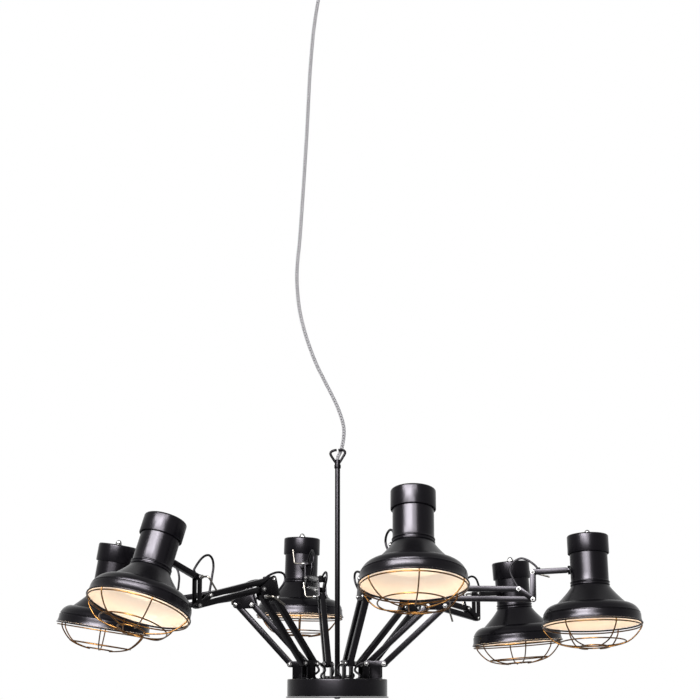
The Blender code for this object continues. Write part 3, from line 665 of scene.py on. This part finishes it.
def fastener_tree():
    """Sets a fastener on each point, its foot on the point and its head along the way."""
    inputs = {
        "Places": "NodeSocketGeometry",
        "Fastener": "NodeSocketObject",
        "Size": 1.0,
        "Seed": 7,
        "Finish": "NodeSocketMaterial",
    }
    tree, given, out = node_group("set_fasteners", "GeometryNodeTree", inputs, MESH_OUT)
    inputs = {"Name": "way"}
    way = new_node(tree, "GeometryNodeInputNamedAttribute", inputs, data_type="FLOAT_VECTOR")
    inputs = {"Vector": way.outputs["Attribute"]}
    align = new_node(tree, "FunctionNodeAlignRotationToVector", inputs, axis="Z")
    model = new_node(tree, "GeometryNodeObjectInfo", {"Object": given["Fastener"]})
    inputs = {
        "Points": given["Places"],
        "Instance": model.outputs["Geometry"],
        "Rotation": align.outputs["Rotation"],
        "Scale": given["Size"],
    }
    place = new_node(tree, "GeometryNodeInstanceOnPoints", inputs)
    spin = new_node(tree, "FunctionNodeRandomValue", {"Seed": given["Seed"]}, data_type="FLOAT")
    low_end, high_end = [s for s in spin.inputs if s.type == "VALUE" and s.name in ("Min", "Max")]
    low_end.default_value = 0.0
    high_end.default_value = math.tau
    angle = next(s for s in spin.outputs if s.type == "VALUE")
    turn = new_node(tree, "ShaderNodeCombineXYZ", {"Z": angle})
    inputs = {"Instances": place.outputs["Instances"], "Rotation": turn.outputs["Vector"]}
    twist = new_node(tree, "GeometryNodeRotateInstances", inputs)
    finish_tree(tree, twist.outputs["Instances"], given["Finish"], out)
    return tree


def grown_mesh(maker, tree, values):
    """The plain mesh that a node tree makes of an object, which is then removed."""
    step = maker.modifiers.new("grow", "NODES")
    step.node_group = tree
    for item in tree.interface.items_tree:
        if item.item_type == "SOCKET" and item.in_out == "INPUT" and item.name in values:
            step[item.identifier] = values[item.name]
    graph = bpy.context.evaluated_depsgraph_get()
    graph.update()
    mesh = bpy.data.meshes.new_from_object(maker.evaluated_get(graph))
    bpy.data.objects.remove(maker)
    return mesh


# Placing the pieces
FINISHES = make_finishes()
TREES = {"wire": wire_tree(), "fasteners": fastener_tree()}


def placed(name, mesh, matrix, body, slot="bracket_black", replaces=None, angle=30):
    """A finished piece: its place goes into its mesh, and it rides on its body."""
    mesh.transform(matrix)
    mesh.name = name
    if angle:
        mesh.shade_smooth()
        mesh.set_sharp_from_angle(angle=math.radians(angle))
    made = in_scene(name, mesh)
    if body:
        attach(made, body)
    if replaces:
        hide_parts(replaces)
    return made


def solid(name, bm, matrix, body, finish, **more):
    mesh = plain_mesh(name, bm)
    mesh.materials.append(FINISHES[finish])
    return placed(name, mesh, matrix, body, **more)


def turned(name, profile, sides, matrix, body, finish, **more):
    """One piece turned from its side profile."""
    bm = bmesh.new()
    lathed(bm, profile, sides)
    return solid(name, bm, matrix, body, finish, **more)


def wires(name, runs, radius, finish, matrix, body, sides=12, **more):
    """One piece of round wires: each run is (points, closed, radius shares or None)."""
    curve = bpy.data.curves.new(name, "CURVE")
    curve.dimensions = "3D"
    for points, closed, shares in runs:
        spline = curve.splines.new("POLY")
        spline.points.add(len(points) - 1)
        for slot, spot, share in zip(spline.points, points, shares or [1.0] * len(points)):
            slot.co = (*spot, 1)
            slot.radius = share
        spline.use_cyclic_u = closed
    maker = in_scene(name + "_path", curve)
    values = {"Wire Radius": radius, "Sides": sides, "Finish": FINISHES[finish]}
    return placed(name, grown_mesh(maker, TREES["wire"], values), matrix, body, angle=50, **more)


def fasteners(name, spots, model, finish, matrix, body, size=1.0, seed=7):
    """Bolt heads or nuts at (place, way) spots, as one piece."""
    mesh = bpy.data.meshes.new(name + "_spots")
    mesh.from_pydata([spot for spot, _ in spots], [], [])
    ways = mesh.attributes.new("way", "FLOAT_VECTOR", "POINT")
    for slot, (_, way) in zip(ways.data, spots):
        slot.vector = way
    maker = in_scene(name + "_spots", mesh)
    values = {"Fastener": MODELS[model], "Size": size, "Seed": seed, "Finish": FINISHES[finish]}
    return placed(name, grown_mesh(maker, TREES["fasteners"], values), matrix, body, slot=None)


def moved(place=(0, 0, 0), axis="Y", degrees=0.0):
    return Matrix.Translation(place) @ Matrix.Rotation(math.radians(degrees), 4, axis)


# Models of the fasteners


def screw_head(bm):
    """A washer under a button head with a deep socket."""
    profile = mm((0, 0), (3.4, 0), (3.4, 0.5), (2.7, 0.5), (2.7, 1))
    profile += arc((0.0016, 0.0010), 0.0011, 5, 85, 4)
    lathed(bm, profile + mm((1.4, 2.1), (1.3, 0.4), (0, 0.4)), 18)


def screw_recess(bm):
    """A black disc at the bottom of a screw's socket: painted shade in the socket."""
    lathed(bm, drum(0.00135, 0.0004, 0.0009), 12)


def lock_nut(bm):
    """A washer, a chamfered hexagonal nut and the bolt's rounded end."""
    lathed(bm, drum(0.0035, 0, 0.0005), 18)
    lathed(bm, mm((0, 0.5), (2.9, 0.5), (3.1, 0.8), (3.1, 2.2), (2.7, 2.6), (0, 2.6)), 6)
    lathed(bm, mm((0, 2.6), (1.6, 2.6), (1.6, 3.2), (1.1, 3.5), (0, 3.6)), 12)


def acorn_nut(bm):
    """A washer and a domed cap nut."""
    lathed(bm, drum(0.0064, 0, 0.0008), 24)
    lathed(bm, mm((0, 0.8), (4.6, 0.8), (4.8, 1.1), (4.8, 3.2), (4.3, 3.6), (0, 3.6)), 6)
    dome = arc((0, 0.0036), 0.0038, 0, 90, 7)
    lathed(bm, mm((0, 3.4), (3.8, 3.4)) + dome[1:-1] + mm((0, 7.4)), 24)


def model_piece(build):
    bm = bmesh.new()
    build(bm)
    name = build.__name__ + "_model"
    return bpy.data.objects.new(name, plain_mesh(name, bm))


MODELS = {build.__name__: model_piece(build) for build in (screw_head, screw_recess, lock_nut, acorn_nut)}


# Places of the bodies
STILL = Matrix.Identity(4)
HUB_FRAME = Matrix.Translation((0, 0, -DROP))
ROOT = "canopy_and_hub"


def arm_frames(arm):
    """The row-frame place of each piece of an arm, at rest."""
    turn = math.radians(arm.azimuth)
    foot = (BRACKET_RADIUS * math.cos(turn), BRACKET_RADIUS * math.sin(turn), HUB_TOP)
    reach = PIVOT_SPACING / 2
    made = {"bracket": HUB_FRAME @ moved(foot, "Z", arm.azimuth + arm.swivel)}
    for name, x in (("lower_main", reach), ("lower_link", -reach)):
        made[name] = made["bracket"] @ moved((x, 0, BRACKET_PIVOT_HEIGHT), "Y", -arm.lower)
    made["elbow"] = made["lower_main"] @ moved((LOWER_BAR_LENGTH, 0, 0), "Y", arm.lower)
    for name, (x, z) in (("upper_main", ELBOW_OUTER), ("upper_link", ELBOW_INNER)):
        made[name] = made["elbow"] @ moved((x, 0, z), "Y", -arm.upper)
    made["head"] = made["upper_main"] @ moved((UPPER_BAR_LENGTH, 0, 0), "Y", arm.upper)
    made["lamp_arm"] = made["head"] @ moved((0, 0, HEAD_RISE), "Y", -arm.tilt)
    made["lamp"] = made["lamp_arm"] @ moved((LAMP_REACH, 0, 0), "X", arm.roll)
    return made


# Cord, rose, stem and hub
CORD_STEP = 0.0035
ROSE_EDGE = 0.005
GRIP_RADIUS = 0.0078
GRIP_RIBS_TOP = -0.0285
GRIP_RIBS = 5
RIB_PITCH = 0.0022
RIB_RADIUS = 0.0076
RIB_TAPER = 0.0001
RIB_DEPTH = 0.0006
LOOP_WIRE_RADIUS = 0.0021


def build_cord(rose_pieces):
    path = curved_path(CORD_ROUTE, CORD_STEP)
    mesh = strip_mapped_tube("braided_cord", path, CORD_RADIUS, 24)
    mesh.materials.append(FINISHES["braid"])
    stands_for = "suspension_cord"
    made = placed("braided_cord", mesh, STILL, ROOT, slot="cord_braid", replaces=stands_for, angle=0)
    mesh.shade_smooth()


def build_rose():
    """The ceiling cup, turned from one sheet, and the ribbed grip that holds the cord."""
    cup = [(0, 0), (ROSE_RADIUS, 0), (ROSE_RADIUS, ROSE_EDGE - ROSE_HEIGHT)]
    cup = softened(cup + [(ROSE_RADIUS - ROSE_EDGE, -ROSE_HEIGHT), (0, -ROSE_HEIGHT)], 0.0022, 5)
    stands_for = "ceiling_rose"
    cup = turned("rose_cup", cup, 96, STILL, ROOT, "hub", slot="rose_black", replaces=stands_for)
    top = 0.001 - ROSE_HEIGHT
    profile = [(0, top), (GRIP_RADIUS, top), (GRIP_RADIUS, GRIP_RIBS_TOP)]
    for i in range(GRIP_RIBS):
        level = GRIP_RIBS_TOP - i * RIB_PITCH
        outer = RIB_RADIUS - i * RIB_TAPER
        inner = outer - RIB_DEPTH
        profile += [(inner, level - 0.0004), (inner, level - 0.0014), (outer, level - 0.0018)]
    profile += [(0.0064, -0.0400), (0.0054, GRIP_END), (0, GRIP_END)]
    return [cup, turned("cord_grip", profile, 40, STILL, ROOT, "rubber", slot="rose_black")]


# Each half of the hanging loop, as (distance from the stem's axis, height over its foot)
LOOP_LEFT = mm(
    (3, -0.6), (5.2, 2.6), (8.6, 7.8), (11.2, 12.2), (11.7, 15.2), (10.2, 17.8), (7.5, 19.3),
    (4.2, 20.2), (1.4, 20.6),
)
LOOP_RIGHT = mm(
    (3, -0.6), (5.2, 2.6), (8.8, 8.8), (11.6, 13.4), (12.4, 16.2), (11.1, 19.2), (8.2, 20.5),
    (4.5, 20.7), (1.2, 20.4),
)


def hub_part(name, profile, sides, finish, slot, replaces=None):
    turned(name, profile, sides, HUB_FRAME, ROOT, finish, slot=slot, replaces=replaces)


def build_stem():
    low = HUB_TOP + SEAT
    rod = softened(drum(STEM_RADIUS, low, STEM_TOP), 0.0004, 2)
    hub_part("stem_tube", rod, 32, "stem", "stem_black", "stem_rod")
    nut = mm((0, 0), (8.5, 0), (9, 0.6), (9, 3.6), (8.4, 4.4), (0, 4.4))
    nut = [(radius, low + height) for radius, height in nut]
    hub_part("stem_foot_nut", nut, 6, "stem", "stem_black")
    level = STEM_TOP + SEAT
    shoulder = level + COLLAR_HEIGHT
    top = shoulder + NIPPLE_HEIGHT
    collar = [(0, level), (COLLAR_RADIUS, level), (COLLAR_RADIUS, shoulder)]
    nipple = [(NIPPLE_RADIUS, shoulder), (NIPPLE_RADIUS, top), (0, top)]
    profile = softened(collar + nipple, 0.0007, 3)
    hub_part("stem_nipple", profile, 32, "stem", "stem_black", "hanging_loop")
    foot = shoulder + NIPPLE_HEIGHT / 2
    runs = []
    for side, points in ((-1, LOOP_LEFT), (1, LOOP_RIGHT)):
        path = curved_path([(side * x, 0, foot + z) for x, z in points], 0.0008)
        runs.append((path, False, [1.0] * (len(path) - 1) + [0.8]))
    slot = "loop_nickel"
    wires("hanging_wire_loop", runs, LOOP_WIRE_RADIUS, "loop", HUB_FRAME, ROOT, slot=slot)


def build_hub():
    low = BASE_PLATE_THICK + SEAT
    inner = HUB_RADIUS - HUB_WALL
    outside = [(0, HUB_TOP), (HUB_RADIUS, HUB_TOP), (HUB_RADIUS, low), (inner, low)]
    inside = [(inner, HUB_TOP - HUB_WALL), (0, HUB_TOP - HUB_WALL)]
    profile = softened(outside + inside, HUB_EDGE, 5)
    hub_part("hub_drum", profile, 144, "hub", "hub_black", "hub_shell")
    plate = softened(drum(BASE_PLATE_RADIUS, BASE_PLATE_THICK, 0), 0.0003, 2)
    hub_part("hub_plate", plate, 144, "hub", "hub_base_black", "hub_base_plate")
    screw = mm((0, 0), (5, 0), (4.8, -0.8), (3.4, -1.8), (1.2, -2.1), (1, -1.2), (0, -1.1))
    hub_part("hub_plate_screw", screw, 32, "steel", "hub_base_black")
    for arm in ARMS:
        build_grommet(arm)


def build_grommet(arm):
    """The rubber ring where the arm's cable goes down into the hub."""
    ring = circle((0.0028, 0.0006), 0.0010, 10)
    spot = Matrix.Translation(arm_frames(arm)["bracket"] @ Vector((*HUB_HOLE, 0)))
    turned(f"arm{arm.number}_grommet", ring, 20, spot, ROOT, "rubber", slot="hub_black")


# Arms


def heading(way):
    """The direction of a flat vector, in degrees."""
    return math.degrees(math.atan2(way.y, way.x))


def hull_outline(centres, radius, steps):
    """The outline of a plate that goes round each of its pivots."""
    spots = [Vector(spot) for spot in centres]
    outline = []
    for before, spot, after in zip(spots[-1:] + spots, spots, spots[1:] + spots[:1]):
        start, end = heading(spot - before) - 90, heading(after - spot) - 90
        outline += arc(spot, radius, start, end + 360 if end < start else end, steps)
    return outline


def strip_outline(first, corner, last, half, steps):
    """The outline of a strip with round ends and one bend."""
    ahead = (Vector(corner) - Vector(first)).normalized()
    beyond = (Vector(last) - Vector(corner)).normalized()
    start, turn = heading(ahead), heading(beyond)
    mitre = (Vector((-ahead.y, ahead.x)) + Vector((-beyond.y, beyond.x))).normalized()
    inside = Vector(corner) + mitre * (half / mitre.dot(Vector((-ahead.y, ahead.x))))
    outline = arc(first, half, start + 90, start + 270, steps)
    outline += arc(corner, half, start - 90, turn - 90, steps)
    return outline + arc(last, half, turn - 90, turn + 90, steps) + [tuple(inside)]


def plates(outline, edge=0.0005):
    """The two side plates of an elbow or a bracket."""
    bm = bmesh.new()
    slab(bm, outline, -PLATE_OUTER, -PLATE_INNER, edge)
    slab(bm, outline, PLATE_INNER, PLATE_OUTER, edge)
    return bm


def bar(start, end):
    """A square bar with rounded long edges and chamfered ends."""
    half, cut = BAR_SIZE / 2, BAR_END_CHAMFER
    outline = [(start, cut - half), (start + cut, -half), (end - cut, -half), (end, cut - half)]
    outline += [(x, -z) for x, z in reversed(outline)]
    bm = bmesh.new()
    slab(bm, outline, -half, half, 0.0009, 3)
    return bm


def build_bracket(name, place):
    """The folded channel on the hub, with its swivel screw and two pivots."""
    node = name + "swivel_bracket"
    half, reach = BRACKET_LENGTH / 2, PIVOT_SPACING / 2
    under = BRACKET_PIVOT_HEIGHT - BRACKET_EAR_RADIUS
    outline = [(-half, SEAT), (half, SEAT), (half, under)]
    outline += arc((reach, BRACKET_PIVOT_HEIGHT), BRACKET_EAR_RADIUS, -90, 90, 10)
    outline += arc((-reach, BRACKET_PIVOT_HEIGHT), BRACKET_EAR_RADIUS, 90, 270, 10)
    bm = plates(outline + [(-half, under)])
    floor = (BRACKET_LENGTH, 2 * PLATE_INNER + 0.0008, BRACKET_FLOOR)
    bevelled_block(bm, floor, (0, 0, SEAT + 0.0012), 0.0004)
    solid(name + "swivel_channel", bm, place, node, "arm", replaces=node)
    screw = mm((0, 0), (4.2, 0), (4.2, 2.6), (3.7, 3.2), (0, 3.2))
    foot = place @ moved((0, 0, SEAT + BRACKET_FLOOR))
    turned(name + "swivel_screw", screw, 6, foot, node, "steel")
    pivots = [(-reach, BRACKET_PIVOT_HEIGHT), (reach, BRACKET_PIVOT_HEIGHT)]
    build_pivot_screws(name + "foot", pivots, pivots, place, node)


def build_pivot_screws(name, heads, nuts, place, body):
    """Screw heads on the near side of the plates and nuts on the far side."""
    spots = [((x, -PLATE_OUTER, z), (0, -1, 0)) for x, z in heads]
    fasteners(name + "_screws", spots, "screw_head", "steel", place, body)
    # Black discs in the screw sockets: painted shade, not part of the screws
    fasteners(name + "_recesses", spots, "screw_recess", "rubber", place, body)
    spots = [((x, PLATE_OUTER, z), (0, 1, 0)) for x, z in nuts]
    fasteners(name + "_nuts", spots, "lock_nut", "steel", place, body)


def build_lever(name, pivot, angle, place, body):
    """A clamp lever: a grooved boss and a rod bent over into a handle with a round tip."""
    turn = math.radians(angle)
    out = Vector((math.cos(turn), 0, math.sin(turn)))
    middle = Vector((pivot[0], 0, pivot[1]))
    radius, length = LEVER_BOSS
    groove = radius * LEVER_GROOVE
    boss = [(0, 0), (radius, 0), (radius, length * 0.4), (groove, length * 0.45)]
    boss += [(groove, length * 0.55), (radius, length * 0.6), (radius, length), (0, length)]
    foot = place @ moved(middle + Vector((0, PLATE_OUTER, 0)), "X", -90)
    turned(name + "_boss", softened(boss, 0.0004, 2), 24, foot, body, "steel")
    reach = PLATE_OUTER + LEVER_STUB
    start = middle + Vector((0, PLATE_OUTER + length - 0.001, 0))
    heel = middle + Vector((0, reach, 0))
    tip = middle + out * LEVER_HANDLE + Vector((0, reach + LEVER_LEAN, 0))
    before = heel - Vector((0, LEVER_BEND, 0))
    after = heel + (tip - heel).normalized() * LEVER_BEND
    points = [start, (start + before) / 2, *rounded(before, heel, after, 8)]
    points += [after.lerp(tip, share) for share in (0.3, 0.6, 0.94, 0.97, 0.99, 1.0)]
    rod = (points, False, [1.0] * (len(points) - 3) + [0.93, 0.75, 0.4])
    wires(name + "_rod", [rod], LEVER_ROD_RADIUS, "lever", place, body)


def build_arm(arm):
    name = f"arm{arm.number}_"
    places = arm_frames(arm)
    build_bracket(name, places["bracket"])
    for level, length in (("lower", LOWER_BAR_LENGTH), ("upper", UPPER_BAR_LENGTH)):
        for part in (level + "_main", level + "_link"):
            node = f"{name}{part}_bar"
            tube = bar(-BAR_SIZE / 2, length + BAR_SIZE / 2)
            place = places[part]
            solid(f"{name}{part}_tube", tube, place, node, "arm", slot="arm_bar_black", replaces=node)
    order = [(-PIVOT_SPACING, 0), (0, 0), ELBOW_OUTER, ELBOW_INNER]
    place, node = places["elbow"], name + "elbow"
    bm = plates(hull_outline(order, ELBOW_MARGIN, 8))
    solid(name + "elbow_plates", bm, place, node, "arm", replaces=node)
    build_pivot_screws(name + "elbow", order, [order[0], *order[2:]], place, node)
    build_lever(name + "elbow_lever", (0, 0), arm.elbow_lever, place, node)
    place, node = places["head"], name + "head_bracket"
    top = (0, HEAD_RISE)
    bm = plates(strip_outline(HEAD_INNER, (0, 0), top, HEAD_STRIP_HALF, 8))
    solid(name + "head_strips", bm, place, node, "arm", replaces=node)
    build_pivot_screws(name + "head", [HEAD_INNER, (0, 0), top], [HEAD_INNER, (0, 0)], place, node)
    build_lever(name + "head_lever", top, arm.head_lever, place, node)
    build_lamp_arm(name, places["lamp_arm"])
    build_lamp_head(arm, name, places["lamp"])
    build_cables(arm, name, places)


def build_lamp_arm(name, place):
    node = name + "lamp_arm"
    face = LAMP_REACH - NECK_RADIUS - SEAT
    back = face - SWIVEL_COLLAR_THICK
    bm = bar(-BAR_SIZE / 2, back + 0.0012)
    solid(name + "lamp_arm_tube", bm, place, node, "arm", replaces=node)
    profile = softened(drum(SWIVEL_COLLAR_RADIUS, back, face), 0.0006, 3)
    across = place @ moved(degrees=90)
    turned(name + "lamp_collar", profile, 32, across, node, "arm")


# Lamp heads


def flare_radius(level):
    share = max(0.0, (FLARE_TOP - level) / (FLARE_TOP - FLARE_END))
    return NECK_RADIUS + (FLARE_RADIUS - NECK_RADIUS) * share**FLARE_BEND


def dome_point(angle, wall=0.0):
    """A point of the quarter-ellipse dome, at 0 degrees on top and at 90 on the skirt."""
    turn = math.radians(angle)
    radius = FLARE_RADIUS + (DOME_RADIUS - FLARE_RADIUS) * math.sin(turn) - wall
    level = FLARE_END - (FLARE_END - DOME_END) * (1 - math.cos(turn)) - wall * math.cos(turn)
    return radius, level


def shade_outside():
    """Cap, neck, two beads, flare and dome with its band, downwards."""
    ledge = TOP_RISE - CAP_HEIGHT
    points = [(0, TOP_RISE + 0.0004), (0.012, TOP_RISE + 0.0003), (CAP_RADIUS - 0.0035, TOP_RISE)]
    points += arc((CAP_RADIUS - CAP_EDGE, TOP_RISE - CAP_EDGE), CAP_EDGE, 80, 0, 7)
    points += [(CAP_RADIUS, ledge + 0.0010), (CAP_RADIUS - 0.0003, ledge + 0.0003)]
    points += [(CAP_RADIUS - 0.0008, ledge), (CAP_RADIUS - 0.0012, ledge + 0.0004)]
    points += [(CAP_RADIUS - 0.0014, ledge + 0.0030), (NECK_RADIUS, ledge + 0.0030)]
    points += [(NECK_RADIUS, level) for level in (ledge - 0.004, -0.008, NECK_END + 0.0004)]
    for middle in BEAD_LEVELS:
        for angle in range(8, 173, 20):
            turn = math.radians(angle)
            swell = BEAD_HEIGHT * math.sin(turn) ** 1.4
            points.append((NECK_RADIUS + swell, middle + BEAD_HALF * math.cos(turn)))
    for i in range(14):
        level = FLARE_TOP - 0.0003 + (FLARE_END + 0.0009 - FLARE_TOP) * i / 13
        points.append((flare_radius(level), level))
    points.append((FLARE_RADIUS + 0.0002, FLARE_END - 0.0002))
    points += [dome_point(angle) for angle in (12, 20, 28, 36, 44, 52, 59, 65)]
    return points + DOME_BAND


def inner_skin(wall):
    """The inside of the shade, from the rim up to the cap."""
    points = [(0.0789 - wall, -0.0868), (0.0779 - wall, -0.0835)]
    points += [dome_point(angle, wall) for angle in range(90, 0, -6)]
    for i in range(10, -1, -1):
        level = FLARE_TOP + (FLARE_END - FLARE_TOP) * i / 10
        points.append((flare_radius(level) - wall, level - wall))
    side, top = NECK_RADIUS - wall, TOP_RISE - wall
    return points + [(side, 0.0), (side, top - 0.002), (side - 0.002, top), (0, top)]


def build_lamp_head(arm, name, place):
    node = name + "lamp_head"
    bm = bmesh.new()
    lathed(bm, shade_outside() + inner_skin(0.0007), 96)
    roll = circle((RIM_RADIUS - ROLL_RADIUS, RIM_LEVEL + 0.0017), ROLL_RADIUS, 14)
    lathed(bm, [(r, max(z, RIM_LEVEL)) for r, z in roll], 96)
    slot = "lamp_head_black"
    solid(name + "shade", bm, place, node, "shade", slot=slot, replaces=node, angle=32)
    skin = inner_skin(0.0006) + inner_skin(0.0011)[::-1]
    lining = turned(name + "shade_lining", skin, 96, place, node, "lining", slot=slot, angle=40)
    shade_glow(lining, place)
    spot = [((0, 0, TOP_RISE + 0.0003), (0, 0, 1))]
    fasteners(name + "cap_nut", spot, "acorn_nut", "steel", place, node, size=1.2, seed=arm.number)
    build_cage(arm, name, place, node)
    build_bulb(name, place, node)


def shade_glow(lining, place):
    """How near each point of the lining is to the lit bulb, kept as an attribute that sets the painted
    bulb light.
    """
    bulb = place @ Vector((0, 0, BULB_LEVEL))
    glow = lining.data.attributes.new("bulb_light", "FLOAT", "POINT")
    spots = [v.co for v in lining.data.vertices]
    values = [(GLOW_REACH / max((spot - bulb).length, GLOW_REACH)) ** 1.5 for spot in spots]
    glow.data.foreach_set("value", values)


def build_cage(arm, name, place, node):
    """Rim, middle and end rings, and the bent wires that join them to the shade's edge."""
    runs = []
    for i in range(CAGE_WIRES):
        turn = math.radians(arm.cage_turn + 360 * i / CAGE_WIRES)
        spots = [(r * math.cos(turn), r * math.sin(turn), z) for r, z in CAGE_PROFILE]
        runs.append((curved_path(spots, 0.003), False, None))
    for radius, level in (CAGE_RIM, CAGE_MID, CAGE_END):
        ring = [(x, y, level) for x, y in circle((0, 0), radius, 96)]
        runs.append((ring, True, None))
    slot = "lamp_head_black"
    wires(name + "cage", runs, CAGE_WIRE_RADIUS, "cage", place, node, sides=10, slot=slot)


def build_bulb(name, place, node):
    globe = arc((0, BULB_LEVEL), BULB_RADIUS, -90, 52, 26)
    neck = mm((13.6, -13), (13.1, -6), (13, 3), (0, 3))
    profile = [(0, BULB_LEVEL - BULB_RADIUS)] + globe[1:] + neck
    turned(name + "bulb", profile, 48, place, node, "bulb", slot="lamp_head_black", angle=60)
    top, seat = TOP_RISE - SHADE_WALL, HOLDER_END + 0.006
    profile = [(0, top), (HOLDER_RADIUS, top), (HOLDER_RADIUS, HOLDER_END)]
    profile = softened(profile + [(0.0132, HOLDER_END), (0.0132, seat), (0, seat)], 0.0008, 3)
    turned(name + "bulb_holder", profile, 40, place, node, "holder", slot="lamp_head_black")


# Cables
GLAND_REACH = 0.0145
HUB_HOLE = (-0.029, 0)
CABLE_BOW = {3: -0.0045, 4: -0.006, 5: -0.0045}
# Each route is in the frame of the piece that it starts on, as (outwards, up)
HUB_LOOP = mm(
    (-14, 24), (-20.5, 25.2), (-27.8, 23.2), (-33.5, 18.6), (-35.2, 14), (-32.2, 10.4), (-27.6, 7.4),
    (-26.8, 4.4), (-29, 1), (-29.2, -2),
)
ELBOW_LOOP = mm(
    (-28, 1), (-31.8, 7.5), (-38.5, 15), (-45, 22.5), (-47.8, 30), (-45, 37), (-37.2, 39.8), (-27, 39),
    (-16.5, 35.5), (-8.5, 31), (-4, 25),
)
HEAD_LOOPS = {
    1: mm(
        (-22.5, 16.4), (-27.2, 23.5), (-32.9, 33.5), (-34.6, 43.4), (-35.3, 53.7), (-32.9, 64.3),
        (-29, 70.3), (-22, 74.5), (-13, 73.5), (-4.5, 67), (3, 58), (8, 50), (9.5, 44),
    ),
    2: mm(
        (-22.5, 16.4), (-25, 23), (-26.8, 34), (-29, 48), (-30.6, 60), (-28.5, 70.5), (-22.5, 76.5),
        (-15, 76.5), (-7, 72), (1, 63.5), (7.5, 54), (9.8, 47),
    ),
    4: mm(
        (-22.5, 16.4), (-22.2, 26), (-22.8, 36.6), (-27, 44), (-27.8, 50.8), (-22.6, 57.8),
        (-13.6, 63.1), (-4.5, 65.5), (4, 63.5), (9, 57), (10.2, 50), (10, 44),
    ),
    5: mm(
        (-22.5, 16.4), (-26.2, 22.5), (-30, 31), (-33, 42), (-32.5, 54), (-27, 65), (-17, 71.2),
        (-8.5, 71.2), (-1.5, 67), (4, 58), (7.8, 50), (9.2, 44),
    ),
    6: mm(
        (-22.5, 16.4), (-26.2, 22.5), (-30, 29), (-34, 36.5), (-36.8, 45), (-35.5, 53.5), (-29, 61),
        (-19.5, 65.2), (-10.5, 63.2), (-2.5, 58.5), (5.5, 51.5), (9.2, 44),
    ),
}
HEAD_LOOPS[3] = HEAD_LOOPS[6]


def flat_route(points, side):
    """A route given a sideways bow that fades at both ends."""
    last = len(points) - 1
    bows = [side * math.sin(math.pi * i / last) for i in range(len(points))]
    return [(x, bow, z) for (x, z), bow in zip(points, bows)]


def cable(name, points, place, bodies, start, end):
    """A thin black cable along the points, in the row frame, riding on no body."""
    runs = [(curved_path(points, 0.0022), False, None)]
    made = wires(name, runs, CABLE_RADIUS, "cable", place, None)
    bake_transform(made)


def gland(name, spot, way, place, body):
    """The small black ring where a cable goes into a bar."""
    profile = mm((0, 0), (2.9, 0), (2.9, 1.4), (2.1, 2.4), (0, 2.4))
    foot = place @ moved(spot) @ Vector(way).to_track_quat("Z", "Y").to_matrix().to_4x4()
    turned(name, softened(profile, 0.0003, 2), 20, foot, body, "rubber")


def build_cables(arm, name, places):
    bow = CABLE_BOW.get(arm.number, 0.003)
    bodies = (name + "swivel_bracket", ROOT)
    ends = mm((-29, 0, 20), (-29, 0, 2))
    cable(name + "hub_cable", flat_route(HUB_LOOP, bow), places["bracket"], bodies, *ends)
    bodies = (name + "elbow", name + "upper_link_bar")
    ends = mm((-26.5, 0, 30), (-6, 0, 30))
    cable(name + "elbow_cable", flat_route(ELBOW_LOOP, bow), places["elbow"], bodies, *ends)
    half = BAR_SIZE / 2
    inward = (places["elbow"].inverted() @ places["upper_link"]).to_3x3() @ Vector((0, 0, 1))
    along, up = ELBOW_INNER[0] + GLAND_REACH, ELBOW_INNER[1] + half * 0.98
    spot = (along, 0, up + GLAND_REACH * math.tan(math.radians(arm.upper)))
    gland(name + "upper_gland", spot, inward, places["elbow"], name + "upper_link_bar")
    bodies = (name + "head_bracket", name + "lamp_arm")
    ends = mm((-19, 0, 60), (6, 0, 60))
    cable(name + "head_cable", flat_route(HEAD_LOOPS[arm.number], bow), places["head"], bodies, *ends)
    spot = (0.0095, 0, half)
    gland(name + "lamp_arm_gland", spot, (0, 0, 1), places["lamp_arm"], name + "lamp_arm")


def main():
    add_camera()
    add_world()
    add_floor()
    add_lamps()
    build_cord(build_rose())
    build_stem()
    build_hub()
    for arm in ARMS:
        build_arm(arm)
    for model in MODELS.values():
        bpy.data.objects.remove(model)
    bpy.context.scene.view_settings.view_transform = "Standard"


main()
